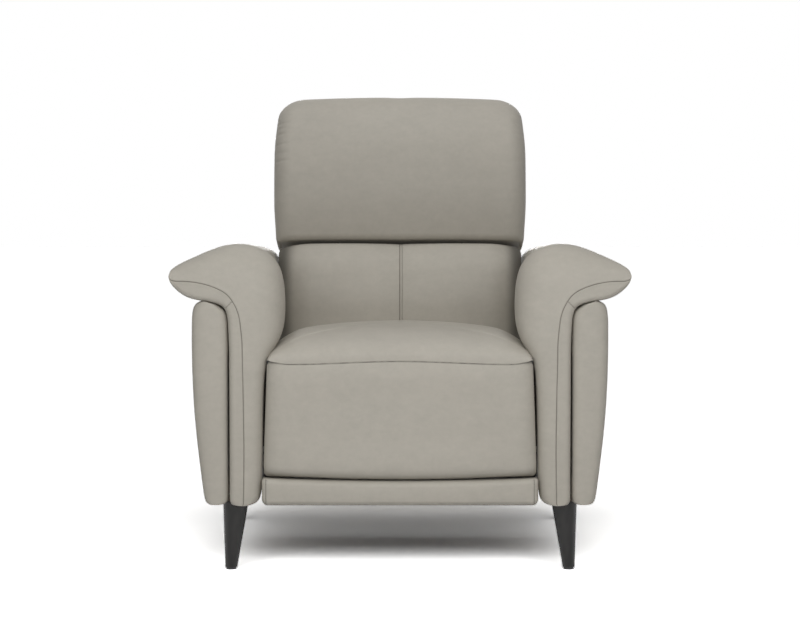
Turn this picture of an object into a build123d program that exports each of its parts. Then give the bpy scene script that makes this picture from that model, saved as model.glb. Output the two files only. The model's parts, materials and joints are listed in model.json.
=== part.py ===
from build123d import *
import math
import os

# Power recliner in millimetres. +Z is up, the chair faces -Y and +X is its left-hand side as seated.
# Depths are counted from the front of the arms while modelling, and the finished pieces are then
# moved back together so that the middle of the footprint is the origin, on the floor.

# Fits
touch_gap = 0.3          # soft or curved faces that lie against each other
slide_gap = 0.3          # a rod in its tube
pivot_gap = 0.06         # a pin in its hole
side_gap = 6.0           # a moving pad beside an arm or beside another pad

# Legs
leg_height = 150.0
leg_top_radius = 27.5
leg_foot_radius = 13.0
leg_plate_thick = 4.0
leg_plate_margin = 3.0
glide_thick = 5.0
glide_radius = 11.0
front_leg_depth = 66.0
front_leg_offset = 55.0   # outward from the room between the arms
front_leg_splay = 10.0
front_leg_lean = -5.0
rear_leg_depth = 716.0
rear_leg_offset = 80.0
rear_leg_splay = 20.0
rear_leg_lean = 12.0

# Arms
seat_half = 296.0        # from the middle of the chair to an arm, below the seat
arm_pad_thick = 64.0
arm_panel_thick = 12.0
arm_front = 6.0
arm_length = 794.0
arm_box_height = 418.0   # the outer panel, from its base to the underside of the wing
arm_crown = 126.0        # from the underside of the wing to the crest of the arm
arm_bulge = 48.0         # how far the arm pad swells over the seat
arm_rear_bulge = 10.0
arm_rear_drop = 34.0
arm_edge_round = 22.0
arm_foot_round = 9.0
arm_corner_round = 6.0
crest_out_round = 110.0
crest_in_round = 80.0
bulge_round = 60.0
wing_under_round = 24.0
wing_edge_round = 16.0
arm_column_depth = 64.0
bulge_low_rise = 128.0     # above the deck
bulge_base_rise = 13.0
crest_width = 120.0
wing_overhang = 54.0
wing_edge_rise = 54.0
wing_flat_inset = 6.0
cover_thick = 80.0
cover_foot_inset = 31.0
cover_wall = 8.0
cover_edge_round = 14.0
cover_foot_round = 10.0
cover_belly_round = 500.0
cover_shoulder_round = 300.0
cover_top_round = 20.0
cover_inner_round = 16.0
base_board_thick = 12.0
base_board_inset = 14.0
frame_post_width = 50.0
frame_rail_height = 46.0
panel_height = 382.0

# Seat platform
deck_rise = 242.0        # above the legs
side_rail_thick = 30.0
side_rail_height = 130.0
side_rail_length = 560.0
front_rail_depth = 76.0
cross_rail_thick = 25.0
rear_rail_height = 72.0
rear_rail_depth = 544.0
nose_thick = 12.0
nose_inset = 10.0
notch_half = 34.0
notch_rise = 44.0
strap_thick = 2.5
strap_width = 55.0
strap_count = 6
cross_tube_size = 25.0
seat_cushion_gap = 24.0
seat_rear_gap = 45.0       # from the rear of the cushion to the hinge of the back
seat_side_height = 9.0     # heights above the seam at the front of the seat
seat_shoulder_inset = 36.0
seat_shoulder_height = 52.0
seat_crown_height = 67.0
seat_rear_height = 38.0
seat_front_depth = 9.0
seat_roll_radius = 46.0
seat_under_round = 6.0
seat_side_round = 30.0
seat_shoulder_round = 88.0
seat_crown_round = 1500.0
seat_seam_round = 2.0
seat_hem_round = 4.0
seat_rear_round = 24.0
seat_along_round = 900.0

# Legrest, hung on a long hinge under the front of the seat
legrest_axis_depth = 14.0
legrest_axis_rise = 50.0  # above the deck
legrest_travel = 85.0
knuckle_radius = 4.2
hinge_pin_radius = 2.5
leaf_thick = 2.5
leaf_inset = 22.0
leaf_depth = 50.0
knuckle_count = 8
knuckle_gap = 0.4
legrest_foam = 40.0
legrest_board_thick = 12.0
legrest_rail_thick = 16.0
legrest_length = 243.0    # from the hinge down
legrest_bottom_rise = 8.0
legrest_top_gap = 19.0
legrest_bottom_gap = 7.0
legrest_front_round = 20.0
legrest_corner_round = 22.0
legrest_bow_round = 4000.0
legrest_top_round = 14.0
legrest_crown = 6.0
legrest_crown_round = 1200.0
legrest_lip = 2.0
legrest_lip_round = 10.0
legrest_horn_reach = 68.0

# Foot extension, a padded bar on two rods below the legrest
foot_bar_height = 47.0
foot_slide = 140.0
foot_rod_radius = 7.0
foot_rod_half = 170.0
foot_guide_width = 24.0
foot_board_thick = 20.0
foot_round = 12.0
foot_corner_round = 8.0
foot_rear_round = 4.0
foot_front = 2.0
foot_guide_drop = 42.0    # below the hinge
foot_overlap = 44.0      # what stays of each rod in its guide when the bar is out

# Drives
horn_plate_thick = 4.0
horn_wall = 7.0
horn_round = 6.0
drive_pin_radius = 5.0
drive_pin_half = 22.0
eye_radius = 11.0
eye_half = 9.0
rod_radius = 9.0
tube_radius = 16.0
gearbox_half = 22.0
gearbox_length = 60.0
lug_length = 22.0
motor_radius = 19.0
motor_length = 84.0
clevis_thick = 4.0
clevis_gap = 1.0
legrest_clevis_depth = 390.0
recline_clevis_depth = 230.0
rod_overlap = 45.0

# Back, drawn upright about its hinge and then leaned by the rake
back_axis_depth = 625.0
back_axis_rise = 8.0      # above the deck
back_rake = 16.0
back_travel = 36.0
recline_horn_throw = 110.0
back_cushion_gap = 6.0
back_frame_inset = 7.0
back_frame_thick = 40.0
back_post_width = 38.0
back_frame_foot = 22.0
back_frame_top = 272.0
back_rail_height = 46.0
back_strap_count = 3
back_cushion_foot = 66.0
back_cushion_thick = 77.0
back_cushion_edge = 14.0
back_channel = 9.0
back_channel_round = 3.0
back_rim_round = 4.0
back_side_round = 24.0
back_corner_round = 18.0
back_swell_round = 600.0
back_hinge_thick = 4.0
back_hinge_radius = 20.0
back_pin_radius = 6.0
back_pin_head = 9.0
back_shell_inset = 10.0
back_shell_depth = 118.0
back_shell_top = 290.0
back_shell_foot = 8.0
back_shell_wall = 8.0
back_shell_round = 26.0
back_shell_crown_round = 500.0
rear_panel_height = 165.0
rear_panel_thick = 12.0
rear_panel_gap = 8.0

# Headrest, tilting on the top of the back about the centre of its lower front edge
headrest_round = 28.0
headrest_gap = 9.0
headrest_overhang = 8.0   # over each arm
headrest_height = 376.0
headrest_crown = 6.0
headrest_rear = 104.0
headrest_corner = 62.0
headrest_low_corner = 18.0
headrest_belly = 0.42    # the share of the height at which the pillow is fullest
headrest_swell_round = 700.0
headrest_top_round = 1500.0
headrest_heel_round = 16.0
headrest_back_round = 300.0
headrest_edge_round = 40.0
headrest_travel = 40.0
headrest_board_thick = 12.0
headrest_board_inset = 64.0
headrest_board_height = 300.0
headrest_arm_half = 150.0
headrest_arm_boss = 11.0
headrest_pin_radius = 5.0
headrest_drive_offset = 56.0
headrest_drive_foot = 14.0
headrest_slot_half = 24.0

# Controls on the outside of the seated person's right arm
control_depth = 190.0
control_clearance = 8.0
control_length = 100.0
control_width = 32.0
control_proud = 2.5
control_plate = 4.0
button_radius = 8.0
button_lip = 1.5
button_pitch = 22.0
button_travel = 1.5
button_gap = 0.3
switch_box_depth = 22.0

# Power inlet on the rear panel
inlet_width = 28.0
inlet_height = 20.0
inlet_depth = 26.0
inlet_flange = 7.0
inlet_wall = 3.0
inlet_pin_radius = 1.5
inlet_rise = 60.0

nodes = {}


def block(x, y, z):
    """Return a box between pairs of limits along X, Y and Z."""
    limits = (x, y, z)
    size = [high - low for low, high in limits]
    middle = [(high + low) / 2 for low, high in limits]
    return Pos(*middle) * Box(*size)


def outline(points, radii):
    """Return a flat face whose corners are rounded, each by its own radius."""
    return make_face(FilletPolyline(*points, radius=radii, close=True))


def along_x(face, x):
    """Return a face drawn in Y and Z, drawn out between two limits along X."""
    return extrude(Plane.YZ.offset(x[0]) * face, amount=x[1] - x[0])


def along_y(face, y):
    """Return a face drawn in X and Z, drawn out between two limits along Y."""
    return extrude(Plane.XZ.offset(-y[0]) * face, amount=y[0] - y[1])


def along_z(face, z):
    """Return a face drawn in X and Y, drawn out between two limits along Z."""
    return extrude(Plane.XY.offset(z[0]) * face, amount=z[1] - z[0])


def bar_x(x, y, z, radius):
    """Return a round bar along X between two limits."""
    return Pos((x[0] + x[1]) / 2, y, z) * Rot(0, 90, 0) * Cylinder(radius, x[1] - x[0])


def bar_y(x, y, z, radius):
    """Return a round bar along Y between two limits."""
    return Pos(x, (y[0] + y[1]) / 2, z) * Rot(90, 0, 0) * Cylinder(radius, y[1] - y[0])


def bar_z(x, y, z, radius):
    """Return a round bar along Z between two limits."""
    return Pos(x, y, (z[0] + z[1]) / 2) * Cylinder(radius, z[1] - z[0])


def spread(half):
    """Return the pair of limits that lie evenly on both sides of the middle."""
    return (-half, half)


def mirrored(shape):
    """Return the shape on the other side of the chair."""
    return mirror(shape, about=Plane.YZ)


def pair(shape):
    """Return a shape and its mirror image as one group of separate solids."""
    return group([shape, mirrored(shape)])


def group(shapes):
    """Return separate solids as one compound."""
    return Compound(children=[solid for shape in shapes for solid in shape.solids()])


def inset(points, radii, distance):
    """Return a rounded outline drawn in by a distance, with its corner radii to match.

    The points run anticlockwise. Outward corners lose the distance from their radius, and inward
    corners gain it, so that the new outline is parallel to the old one.
    """
    moved = []
    rounded = []
    for here, (x, y) in enumerate(points):
        before = Vector(*points[here - 1])
        after = Vector(*points[(here + 1) % len(points)])
        corner = Vector(x, y)
        inward = (corner - before).normalized()
        outward = (after - corner).normalized()
        first = Vector(-inward.Y, inward.X)
        second = Vector(-outward.Y, outward.X)
        shift = (first + second) * (distance / (1 + first.dot(second)))
        moved.append((x + shift.X, y + shift.Y))
        turns_left = inward.cross(outward).Z > 0
        rounded.append(max(radii[here] - distance, 1.0) if turns_left else radii[here] + distance)
    return moved, rounded


def rounding(radius, steps=3):
    """Return depth and inset pairs along a quarter circle, from the flat end to the full section."""
    angles = [math.pi / 2 * step / steps for step in range(steps + 1)]
    return [(radius * (1 - math.cos(a)), radius * (1 - math.sin(a))) for a in angles]


def drive(reach, travel):
    """Return the throw, slot length and slot width of a horn that a straight push rod turns.

    The rod's pin runs along a straight line at the distance throw from the hinge, from reach behind
    it to reach in front. The pin moves evenly with the angle, so it slides along the horn's radial
    slot and wanders a little to both sides of it.
    """
    half = math.radians(travel) / 2
    throw = reach / math.tan(half)
    angles = [half * step / 12 for step in range(13)]
    wander = max((throw * math.tan(a) - reach * a / half) * -math.cos(a) for a in angles)
    length = throw / math.cos(half) - throw + 2 * (drive_pin_radius + slide_gap)
    width = 2 * (wander + drive_pin_radius + slide_gap)
    return throw, length, width


def actuator(tube_length):
    """Return an actuator body along +Z, with its rear pivot at the origin."""
    gear_start = lug_length
    gear_end = gear_start + gearbox_length
    tube_end = gear_end + tube_length
    lug = block(spread(eye_half), spread(eye_radius), (-eye_radius, gear_start))
    lug -= bar_x(spread(gearbox_half), 0, 0, drive_pin_radius + pivot_gap)
    gearbox = block(spread(gearbox_half), spread(gearbox_half), (gear_start, gear_end))
    gearbox = fillet(gearbox.edges().filter_by(Axis.Z), gearbox_half / 4)
    tube = bar_z(0, 0, (gear_end, tube_end), tube_radius)
    bore = bar_z(0, 0, (gear_end, tube_end), rod_radius + slide_gap)
    return lug + gearbox + (tube - bore)


def motor():
    """Return the motor of an actuator, standing out to +X from its gearbox."""
    middle = lug_length + gearbox_length / 2
    start = gearbox_half
    can = bar_x((start, start + motor_length), 0, middle, motor_radius)
    return fillet(can.edges().filter_by(GeomType.CIRCLE), motor_radius / 6)


def push_rod(start, end):
    """Return a push rod along +Z from its inner end to the eye, with the cross pin in the eye."""
    shaft = bar_z(0, 0, (start, end), rod_radius)
    eye = bar_x(spread(eye_half), 0, end, eye_radius)
    pin = bar_x(spread(drive_pin_half), 0, end, drive_pin_radius)
    return shaft + eye + pin


def clevis(seat):
    """Return two ears and their pin about the origin, standing on a face at -Z by the distance seat."""
    ear = make_face(Polyline((-eye_radius, -seat), (eye_radius, -seat), (eye_radius, 0),
                             (-eye_radius, 0), close=True))
    ear += Circle(eye_radius)
    ear_start = eye_half + clevis_gap
    plate = along_x(ear, (ear_start, ear_start + clevis_thick))
    plate -= bar_x((0, 2 * gearbox_half), 0, 0, drive_pin_radius)
    pin = bar_x(spread(ear_start + clevis_thick), 0, 0, drive_pin_radius)
    return group([plate, mirrored(plate), pin])


# Stations across the chair
panel_out = seat_half + arm_pad_thick
panel_in = panel_out - arm_panel_thick
cover_in = panel_out + touch_gap
cover_out = cover_in + cover_thick
wing_tip = cover_out + wing_overhang
front_leg_half = seat_half + front_leg_offset
rear_leg_half = seat_half + rear_leg_offset
seat_cushion_half = seat_half - seat_cushion_gap
seat_shoulder_half = seat_cushion_half - seat_shoulder_inset
nose_half = seat_cushion_half - nose_inset
leaf_half = nose_half - leaf_inset
legrest_top_half = seat_half - legrest_top_gap
legrest_bottom_half = seat_half - legrest_bottom_gap
back_half = seat_half - back_cushion_gap
back_frame_half = back_half - back_frame_inset
back_shell_half = back_half - back_shell_inset
headrest_half = seat_half + headrest_overhang
headrest_board_half = headrest_half - headrest_board_inset

# Stations up the arm
cover_top = leg_height + arm_box_height
wing_under = cover_top + touch_gap
wing_edge = wing_under + wing_edge_rise
arm_crest = wing_under + arm_crown
base_top = leg_height + base_board_thick
panel_top = base_top + panel_height
arm_rear = arm_front + arm_length
seat_cushion_rear = back_axis_depth - seat_rear_gap

# Stations up the seat and the back
deck_height = leg_height + deck_rise
cushion_base = deck_height + strap_thick + touch_gap
bulge_low = deck_height + bulge_low_rise
bulge_base = deck_height + bulge_base_rise
legrest_axis_height = deck_height + legrest_axis_rise
legrest_bottom = legrest_axis_height - legrest_length
foot_bottom = legrest_bottom - foot_bar_height
foot_guide_top = legrest_axis_height - foot_guide_drop
back_axis_height = deck_height + back_axis_rise

# The recess that leaves the back room to lean between the arms
well_front = back_axis_depth - back_cushion_thick - back_frame_thick / 2 - side_gap
well_half = headrest_half + side_gap


def arm_section(bulge, drop):
    """Return the corners and radii of the arm pad's section: column, swelling, crest and wing."""
    inner = seat_half - bulge
    points = [
        (panel_out, leg_height),
        (panel_out, wing_under),
        (cover_out - wing_flat_inset, wing_under),
        (wing_tip, wing_edge),
        (inner + crest_width, arm_crest - drop),
        (inner, arm_crest - drop),
        (inner, bulge_low),
        (seat_half, bulge_base),
        (seat_half + touch_gap, leg_height),
    ]
    radii = [
        arm_foot_round, arm_corner_round, wing_under_round, wing_edge_round, crest_out_round,
        crest_in_round, bulge_round, bulge_round, arm_foot_round,
    ]
    return points, radii


def standing(section, depth):
    """Return a section drawn in X and Z, standing at a depth."""
    return Plane.XZ.offset(-depth) * outline(*section)


def arm_pad():
    """Return the arm's soft pad, lofted from front to rear, with seats for the boards inside it."""
    front = arm_section(arm_bulge, 0)
    middle = arm_section((arm_bulge + arm_rear_bulge) / 2, arm_rear_drop / 4)
    well = arm_section(arm_rear_bulge, arm_rear_drop / 2)
    rear = arm_section(arm_rear_bulge, arm_rear_drop)
    sections = [
        standing(inset(*front, drawn), arm_front + depth)
        for depth, drawn in rounding(arm_edge_round)
    ]
    sections.append(standing(middle, (arm_front + well_front) / 2))
    sections.append(standing(well, well_front))
    sections += [
        standing(inset(*rear, drawn), arm_rear - depth)
        for depth, drawn in reversed(rounding(arm_edge_round))
    ]
    pad = loft(sections, ruled=True)
    past = arm_rear + arm_edge_round
    pad -= block((0, wing_tip), (arm_front + arm_column_depth, past), (0, cushion_base + touch_gap))
    pad -= block((panel_in, panel_out + touch_gap), (panel_front, past), (0, panel_top))
    pad -= block((base_in, wing_tip), (base_front, past), (0, base_top))
    pad -= block((0, well_half), (well_front, past), (0, 2 * arm_crest))
    return pad


def cover_section():
    """Return the corners and radii of the outer arm panel's section, swelling outward to the top."""
    points = [
        (cover_in, leg_height),
        (cover_out - cover_foot_inset, leg_height),
        (cover_out - cover_foot_inset / 4, leg_height + arm_box_height / 2),
        (cover_out, cover_top - arm_box_height / 5),
        (cover_out - cover_foot_inset / 6, cover_top),
        (cover_in, cover_top),
    ]
    radii = [
        cover_foot_round, cover_foot_round, cover_belly_round, cover_shoulder_round,
        cover_top_round, cover_inner_round,
    ]
    return points, radii


panel_front = arm_front + arm_edge_round / 2
base_in = seat_half + base_board_inset
base_front = panel_front + base_board_inset
base_out = cover_out - cover_foot_inset - base_board_inset
frame_front = arm_front + cover_edge_round + cover_wall
frame_rear = arm_rear - cover_edge_round - cover_wall
top_rail_base = cover_top - cover_wall - frame_rail_height
control_height = top_rail_base - control_clearance - control_width / 2


def arm_cavity(gap):
    """Return the space inside the outer arm panel, less a gap all round."""
    drawn = inset(*cover_section(), cover_wall + gap)
    room = along_y(outline(*drawn), (frame_front + gap, frame_rear - gap))
    return room & block((0, wing_tip), (0, arm_rear), (base_top, cover_top))


def arm_cover():
    """Return the upholstered outer arm panel as a hollow shell over the arm frame."""
    section = cover_section()
    sections = [
        standing(inset(*section, drawn), arm_front + depth)
        for depth, drawn in rounding(cover_edge_round)
    ]
    sections += [
        standing(inset(*section, drawn), arm_rear - depth)
        for depth, drawn in reversed(rounding(cover_edge_round))
    ]
    shell = loft(sections, ruled=True) - arm_cavity(0)
    return shell - block((0, base_out), (base_front, frame_rear), (0, base_top))


def arm_frame():
    """Return the boards inside an arm: a ladder frame, the inner panel and the base board."""
    room = arm_cavity(touch_gap)
    across = (0, wing_tip)
    post_ends = (frame_front + frame_post_width, frame_rear - frame_post_width)
    rail_ends = (base_top + frame_rail_height, top_rail_base)
    ladder = [
        room & block(across, (arm_front, post_ends[0]), (base_top, cover_top)),
        room & block(across, (post_ends[1], arm_rear), (base_top, cover_top)),
        room & block(across, post_ends, (base_top, rail_ends[0])),
        room & block(across, post_ends, (rail_ends[1], cover_top)),
    ]
    panel = block((panel_in, panel_out), (panel_front, frame_rear), (base_top, panel_top))
    base = block((base_in, base_out), (base_front, frame_rear), (leg_height, base_top))
    return group(ladder + [panel, base])


def leg(half, depth, splay, lean):
    """Return a round leg that tapers and splays outward, and leans along the chair."""
    top = leg_height - leg_plate_thick
    foot = Pos(half + splay, depth + lean, glide_thick) * Circle(leg_foot_radius)
    head = Pos(half, depth, top) * Circle(leg_top_radius)
    return loft([foot, head])


def leg_plate(half, depth):
    """Return the round plate that screws a leg to the arm's base board."""
    top = leg_height
    return bar_z(half, depth, (top - leg_plate_thick, top), leg_top_radius - leg_plate_margin)


def leg_glide(half, depth, splay, lean):
    """Return the glide under a leg."""
    return bar_z(half + splay, depth + lean, (0, glide_thick), glide_radius)


def make_arms_and_legs():
    """Make both arms and the four legs that carry them."""
    makers = {"arm_pad": arm_pad, "arm_cover": arm_cover, "arm_frame": arm_frame}
    for name, maker in makers.items():
        shape = maker()
        nodes[name + "_left"] = shape
        nodes[name + "_right"] = mirrored(shape)
    places = {
        "front": (front_leg_half, front_leg_depth, front_leg_splay, front_leg_lean),
        "rear": (rear_leg_half, rear_leg_depth, rear_leg_splay, rear_leg_lean),
    }
    plates = []
    glides = []
    for name, place in places.items():
        shape = leg(*place)
        nodes[name + "_leg_left"] = shape
        nodes[name + "_leg_right"] = mirrored(shape)
        plates.append(pair(leg_plate(*place[:2])))
        glides.append(pair(leg_glide(*place)))
    nodes["leg_plates"] = group(plates)
    nodes["leg_glides"] = group(glides)


# Stations of the seat platform
rail_in = panel_in - side_rail_thick
rail_base = deck_height - side_rail_height
nose_base = legrest_axis_height + knuckle_radius
nose_top = nose_base + nose_thick
nose_front = legrest_axis_depth + knuckle_radius
front_rail_rear = front_rail_depth + cross_rail_thick
legrest_throw, legrest_slot_length, legrest_slot_width = drive(legrest_horn_reach, legrest_travel)
legrest_pin_depth = legrest_axis_depth + legrest_horn_reach
legrest_pin_height = legrest_axis_height - legrest_throw
recline_reach = recline_horn_throw * math.tan(math.radians(back_travel / 2))
recline_slot_length, recline_slot_width = drive(recline_reach, back_travel)[1:]
recline_pin_depth = back_axis_depth + recline_reach
recline_pin_height = back_axis_height - recline_horn_throw
clevis_seat = eye_radius + 2 * side_gap


def seat_cushion():
    """Return the seat cushion: crowned across and along, rolled down at the front."""
    low = cushion_base
    seam = nose_base + touch_gap
    across = outline(
        [
            (-seat_cushion_half, low),
            (seat_cushion_half, low),
            (seat_cushion_half, seam + seat_side_height),
            (seat_shoulder_half, seam + seat_shoulder_height),
            (0, seam + seat_crown_height),
            (-seat_shoulder_half, seam + seat_shoulder_height),
            (-seat_cushion_half, seam + seat_side_height),
        ],
        [
            seat_under_round, seat_under_round, seat_side_round, seat_shoulder_round,
            seat_crown_round, seat_shoulder_round, seat_side_round,
        ],
    )
    step = front_rail_rear + touch_gap
    lip = nose_front - touch_gap
    along = outline(
        [
            (seat_front_depth, seam),
            (lip, seam),
            (lip, nose_top + touch_gap),
            (step, nose_top + touch_gap),
            (step, low),
            (seat_cushion_rear, low),
            (seat_cushion_rear, seam + seat_rear_height),
            (step + seat_cushion_rear / 3, seam + seat_crown_height),
            (seat_front_depth, seam + seat_crown_height),
        ],
        [
            seat_seam_round, 0, 0, 0, seat_hem_round, seat_hem_round, seat_rear_round,
            seat_along_round, seat_roll_radius,
        ],
    )
    return along_y(across, (0, seat_cushion_rear)) & along_x(along, spread(seat_half))


def make_seat():
    """Make the seat platform, its webbing and its cushion."""
    rail_span = (front_rail_depth, front_rail_depth + side_rail_length)
    nodes["seat_side_rails"] = pair(block((rail_in, panel_in), rail_span, (rail_base, deck_height)))
    front_span = (front_rail_depth, front_rail_rear)
    front = block(spread(rail_in), front_span, (rail_base, deck_height))
    front += block(spread(nose_half), front_span, (deck_height, nose_base))
    notch_top = legrest_pin_height + notch_rise
    front -= block(spread(notch_half), front_span, (rail_base, notch_top))
    rear_span = (rear_rail_depth, rear_rail_depth + cross_rail_thick)
    rear = block(spread(rail_in), rear_span, (deck_height - rear_rail_height, deck_height))
    nodes["seat_front_rail"] = front
    nodes["seat_rear_rail"] = rear
    nose = block(spread(nose_half), (nose_front, front_rail_rear), (nose_base, nose_top))
    nodes["seat_nose_board"] = nose
    first = front_rail_rear + strap_width / 2 + side_gap
    last = rear_rail_depth + cross_rail_thick - strap_width / 2
    pitch = (last - first) / (strap_count - 1)
    straps = [
        Pos(0, first + pitch * index, deck_height + strap_thick / 2)
        * Box(2 * (panel_in - side_gap), strap_width, strap_thick)
        for index in range(strap_count)
    ]
    nodes["seat_webbing"] = group(straps)
    nodes["seat_cushion"] = seat_cushion()


def make_tubes():
    """Make the two cross tubes that carry the actuators between the side rails."""
    tubes = []
    half = cross_tube_size / 2
    legrest_seat = legrest_clevis_depth + clevis_seat
    recline_seat = recline_clevis_depth - clevis_seat - cross_tube_size
    for front, height in ((legrest_seat, legrest_pin_height), (recline_seat, recline_pin_height)):
        span = (front, front + cross_tube_size)
        tubes.append(block(spread(rail_in), span, (height - half, height + half)))
    nodes["cross_tubes"] = group(tubes)


def make_legrest_drive():
    """Make the actuator that pushes the legrest up."""
    place = Pos(0, legrest_clevis_depth, legrest_pin_height) * Rot(90, 0, 0)
    length = legrest_clevis_depth - legrest_pin_depth
    tube_length = length - lug_length - gearbox_length - 2 * eye_radius
    nodes["legrest_actuator"] = place * actuator(tube_length)
    nodes["legrest_motor"] = place * motor()
    nodes["legrest_clevis"] = place * clevis(clevis_seat)
    start = lug_length + gearbox_length + side_gap
    nodes["legrest_drive_rod"] = place * push_rod(start, length)


def make_recline_drive():
    """Make the actuator that pulls the foot of the back forward."""
    place = Pos(0, recline_clevis_depth, recline_pin_height) * Rot(-90, 0, 0)
    length = recline_pin_depth - recline_clevis_depth
    shortest = length - 2 * recline_reach
    tube_end = shortest - 2 * eye_radius
    nodes["recline_actuator"] = place * actuator(tube_end - lug_length - gearbox_length)
    nodes["recline_motor"] = place * mirrored(motor())
    nodes["recline_clevis"] = place * clevis(clevis_seat)
    nodes["recline_drive_rod"] = place * push_rod(tube_end - rod_overlap, length)


# Stations of the legrest
leaf_low = legrest_axis_height - knuckle_radius
board_front = legrest_foam
board_back = board_front + legrest_board_thick
legrest_rail_base = leaf_low - legrest_rail_thick
legrest_rail_front = nose_front + knuckle_gap
rod_depth = board_back + foot_board_thick / 2
foot_guide_length = foot_slide + foot_overlap
foot_board_top = legrest_bottom - side_gap


def hinge_leaf(moving):
    """Return one leaf of the long hinge, with its share of the knuckles.

    The fixed leaf lies above the axis against the nose board and the moving leaf below it. Each
    leaf's plate is cut back where the other leaf's knuckles turn.
    """
    axis = legrest_axis_height
    plate_z = (leaf_low, leaf_low + leaf_thick) if moving else (nose_base - leaf_thick, nose_base)
    y = legrest_axis_depth
    leaf = block(spread(leaf_half), (y, y + leaf_depth), plate_z)
    pitch = 2 * leaf_half / knuckle_count
    room = knuckle_radius + knuckle_gap
    for index in range(knuckle_count):
        start = index * pitch - leaf_half
        if index % 2 == int(moving):
            span = (start + knuckle_gap / 2, start + pitch - knuckle_gap / 2)
            leaf += bar_x(span, y, axis, knuckle_radius)
        else:
            leaf -= block((start, start + pitch), (y - room, y + room), (axis - room, axis + room))
    return leaf - bar_x(spread(leaf_half), y, axis, hinge_pin_radius + pivot_gap)


def legrest_pad():
    """Return the legrest's soft pad: crowned to the front, drawn in at its sides and corners."""
    top = leaf_low - touch_gap
    low = legrest_bottom
    side_low = low + legrest_bottom_rise
    front = outline(
        [
            (-legrest_bottom_half, side_low),
            (0, low),
            (legrest_bottom_half, side_low),
            (legrest_top_half, top),
            (-legrest_top_half, top),
        ],
        [
            legrest_corner_round, legrest_bow_round, legrest_corner_round, legrest_top_round,
            legrest_top_round,
        ],
    )
    crown = legrest_crown
    side = outline(
        [
            (board_front, low),
            (board_front, top),
            (crown + legrest_lip, top),
            (0, (top + low) / 2 - crown),
            (crown, low),
        ],
        [0, 0, legrest_lip_round, legrest_crown_round, legrest_front_round],
    )
    half = legrest_bottom_half
    plan = outline(
        [(-half, board_front), (-half, 0), (half, 0), (half, board_front)],
        [0, legrest_front_round, legrest_front_round, 0],
    )
    pad = along_y(front, (0, board_front)) & along_x(side, spread(half)) & along_z(plan, (0, top))
    rail_room = (legrest_rail_front - touch_gap, board_front)
    return pad - block(spread(half), rail_room, (legrest_rail_base - touch_gap, top))


def slot_ends(throw, reach):
    """Return the near and far middle points of a horn's slot from its hinge, for a level push line."""
    radius = math.hypot(throw, reach)
    far = Vector(reach, -throw)
    return far * (throw / radius), far


def legrest_horn():
    """Return the legrest's slotted horn: two cheeks with flanges against the back of the board."""
    hinge = Vector(legrest_axis_depth, legrest_axis_height)
    near, far = [hinge + end for end in slot_ends(legrest_throw, legrest_horn_reach)]
    margin = legrest_slot_width / 2 + horn_wall
    cheek = outline(
        [
            (board_back, near.Y - 2 * margin),
            (far.X - margin, far.Y - margin),
            (far.X + margin, far.Y - margin),
            (far.X + margin, far.Y),
            (near.X + margin, near.Y + margin),
            (board_back, near.Y + margin),
        ],
        [0, horn_round, horn_round, horn_round, horn_round, 0],
    )
    angle = math.degrees(math.atan2(far.Y - near.Y, far.X - near.X))
    middle = (near + far) * 0.5
    cheek -= Pos(middle.X, middle.Y) * Rot(0, 0, angle) * SlotOverall(
        legrest_slot_length, legrest_slot_width)
    start = eye_half + side_gap
    plate = along_x(cheek, (start, start + horn_plate_thick))
    flange_span = (start + horn_plate_thick, start + 2 * margin)
    plate += block(flange_span, (board_back, board_back + horn_plate_thick),
                   (near.Y - margin, near.Y + margin))
    return pair(plate)


def make_legrest():
    """Make the legrest: hinge, board with its top rail, pad, horn and the guides of the foot bar."""
    nodes["legrest_hinge_fixed_leaf"] = hinge_leaf(moving=False)
    nodes["legrest_hinge_moving_leaf"] = hinge_leaf(moving=True)
    nodes["legrest_hinge_pin"] = bar_x(
        spread(leaf_half), legrest_axis_depth, legrest_axis_height, hinge_pin_radius)
    rail = block(spread(nose_half), (legrest_rail_front, board_back), (legrest_rail_base, leaf_low))
    board_low = legrest_bottom + legrest_front_round
    board = block(spread(nose_half), (board_front, board_back), (board_low, legrest_rail_base))
    nodes["legrest_board"] = board + rail
    nodes["legrest_pad"] = legrest_pad()
    nodes["legrest_horn"] = legrest_horn()
    half = foot_guide_width / 2
    guide = block(
        (foot_rod_half - half, foot_rod_half + half),
        (board_back, board_back + foot_board_thick),
        (foot_guide_top - foot_guide_length, foot_guide_top),
    )
    bore = bar_z(foot_rod_half, rod_depth, (0, nose_base), foot_rod_radius + slide_gap)
    nodes["foot_guides"] = pair(guide - bore)


def foot_pad():
    """Return the foot bar's soft pad, hollowed along its top to follow the legrest above it."""
    top = legrest_bottom - side_gap / 2
    side_top = top + legrest_bottom_rise
    half = legrest_bottom_half + side_gap / 2
    front = outline(
        [
            (-half, foot_bottom),
            (half, foot_bottom),
            (half, side_top),
            (0, top),
            (-half, side_top),
        ],
        [foot_round, foot_round, foot_corner_round, legrest_bow_round, foot_corner_round],
    )
    depth = (foot_front, board_back + foot_board_thick)
    side = outline(
        [(depth[0], foot_bottom), (depth[1], foot_bottom), (depth[1], side_top), (depth[0], side_top)],
        [foot_round, foot_rear_round, foot_rear_round, foot_round],
    )
    pad = along_y(front, depth) & along_x(side, spread(half))
    slot_top = block(spread(half), (board_back, depth[1]), (foot_board_top, side_top))
    return pad - foot_board() - slot_top


def foot_board():
    """Return the stiff bar inside the foot bar's pad."""
    half = legrest_bottom_half - foot_round
    return block(
        spread(half), (board_back, board_back + foot_board_thick),
        (foot_bottom + foot_round / 2, foot_board_top))


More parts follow.
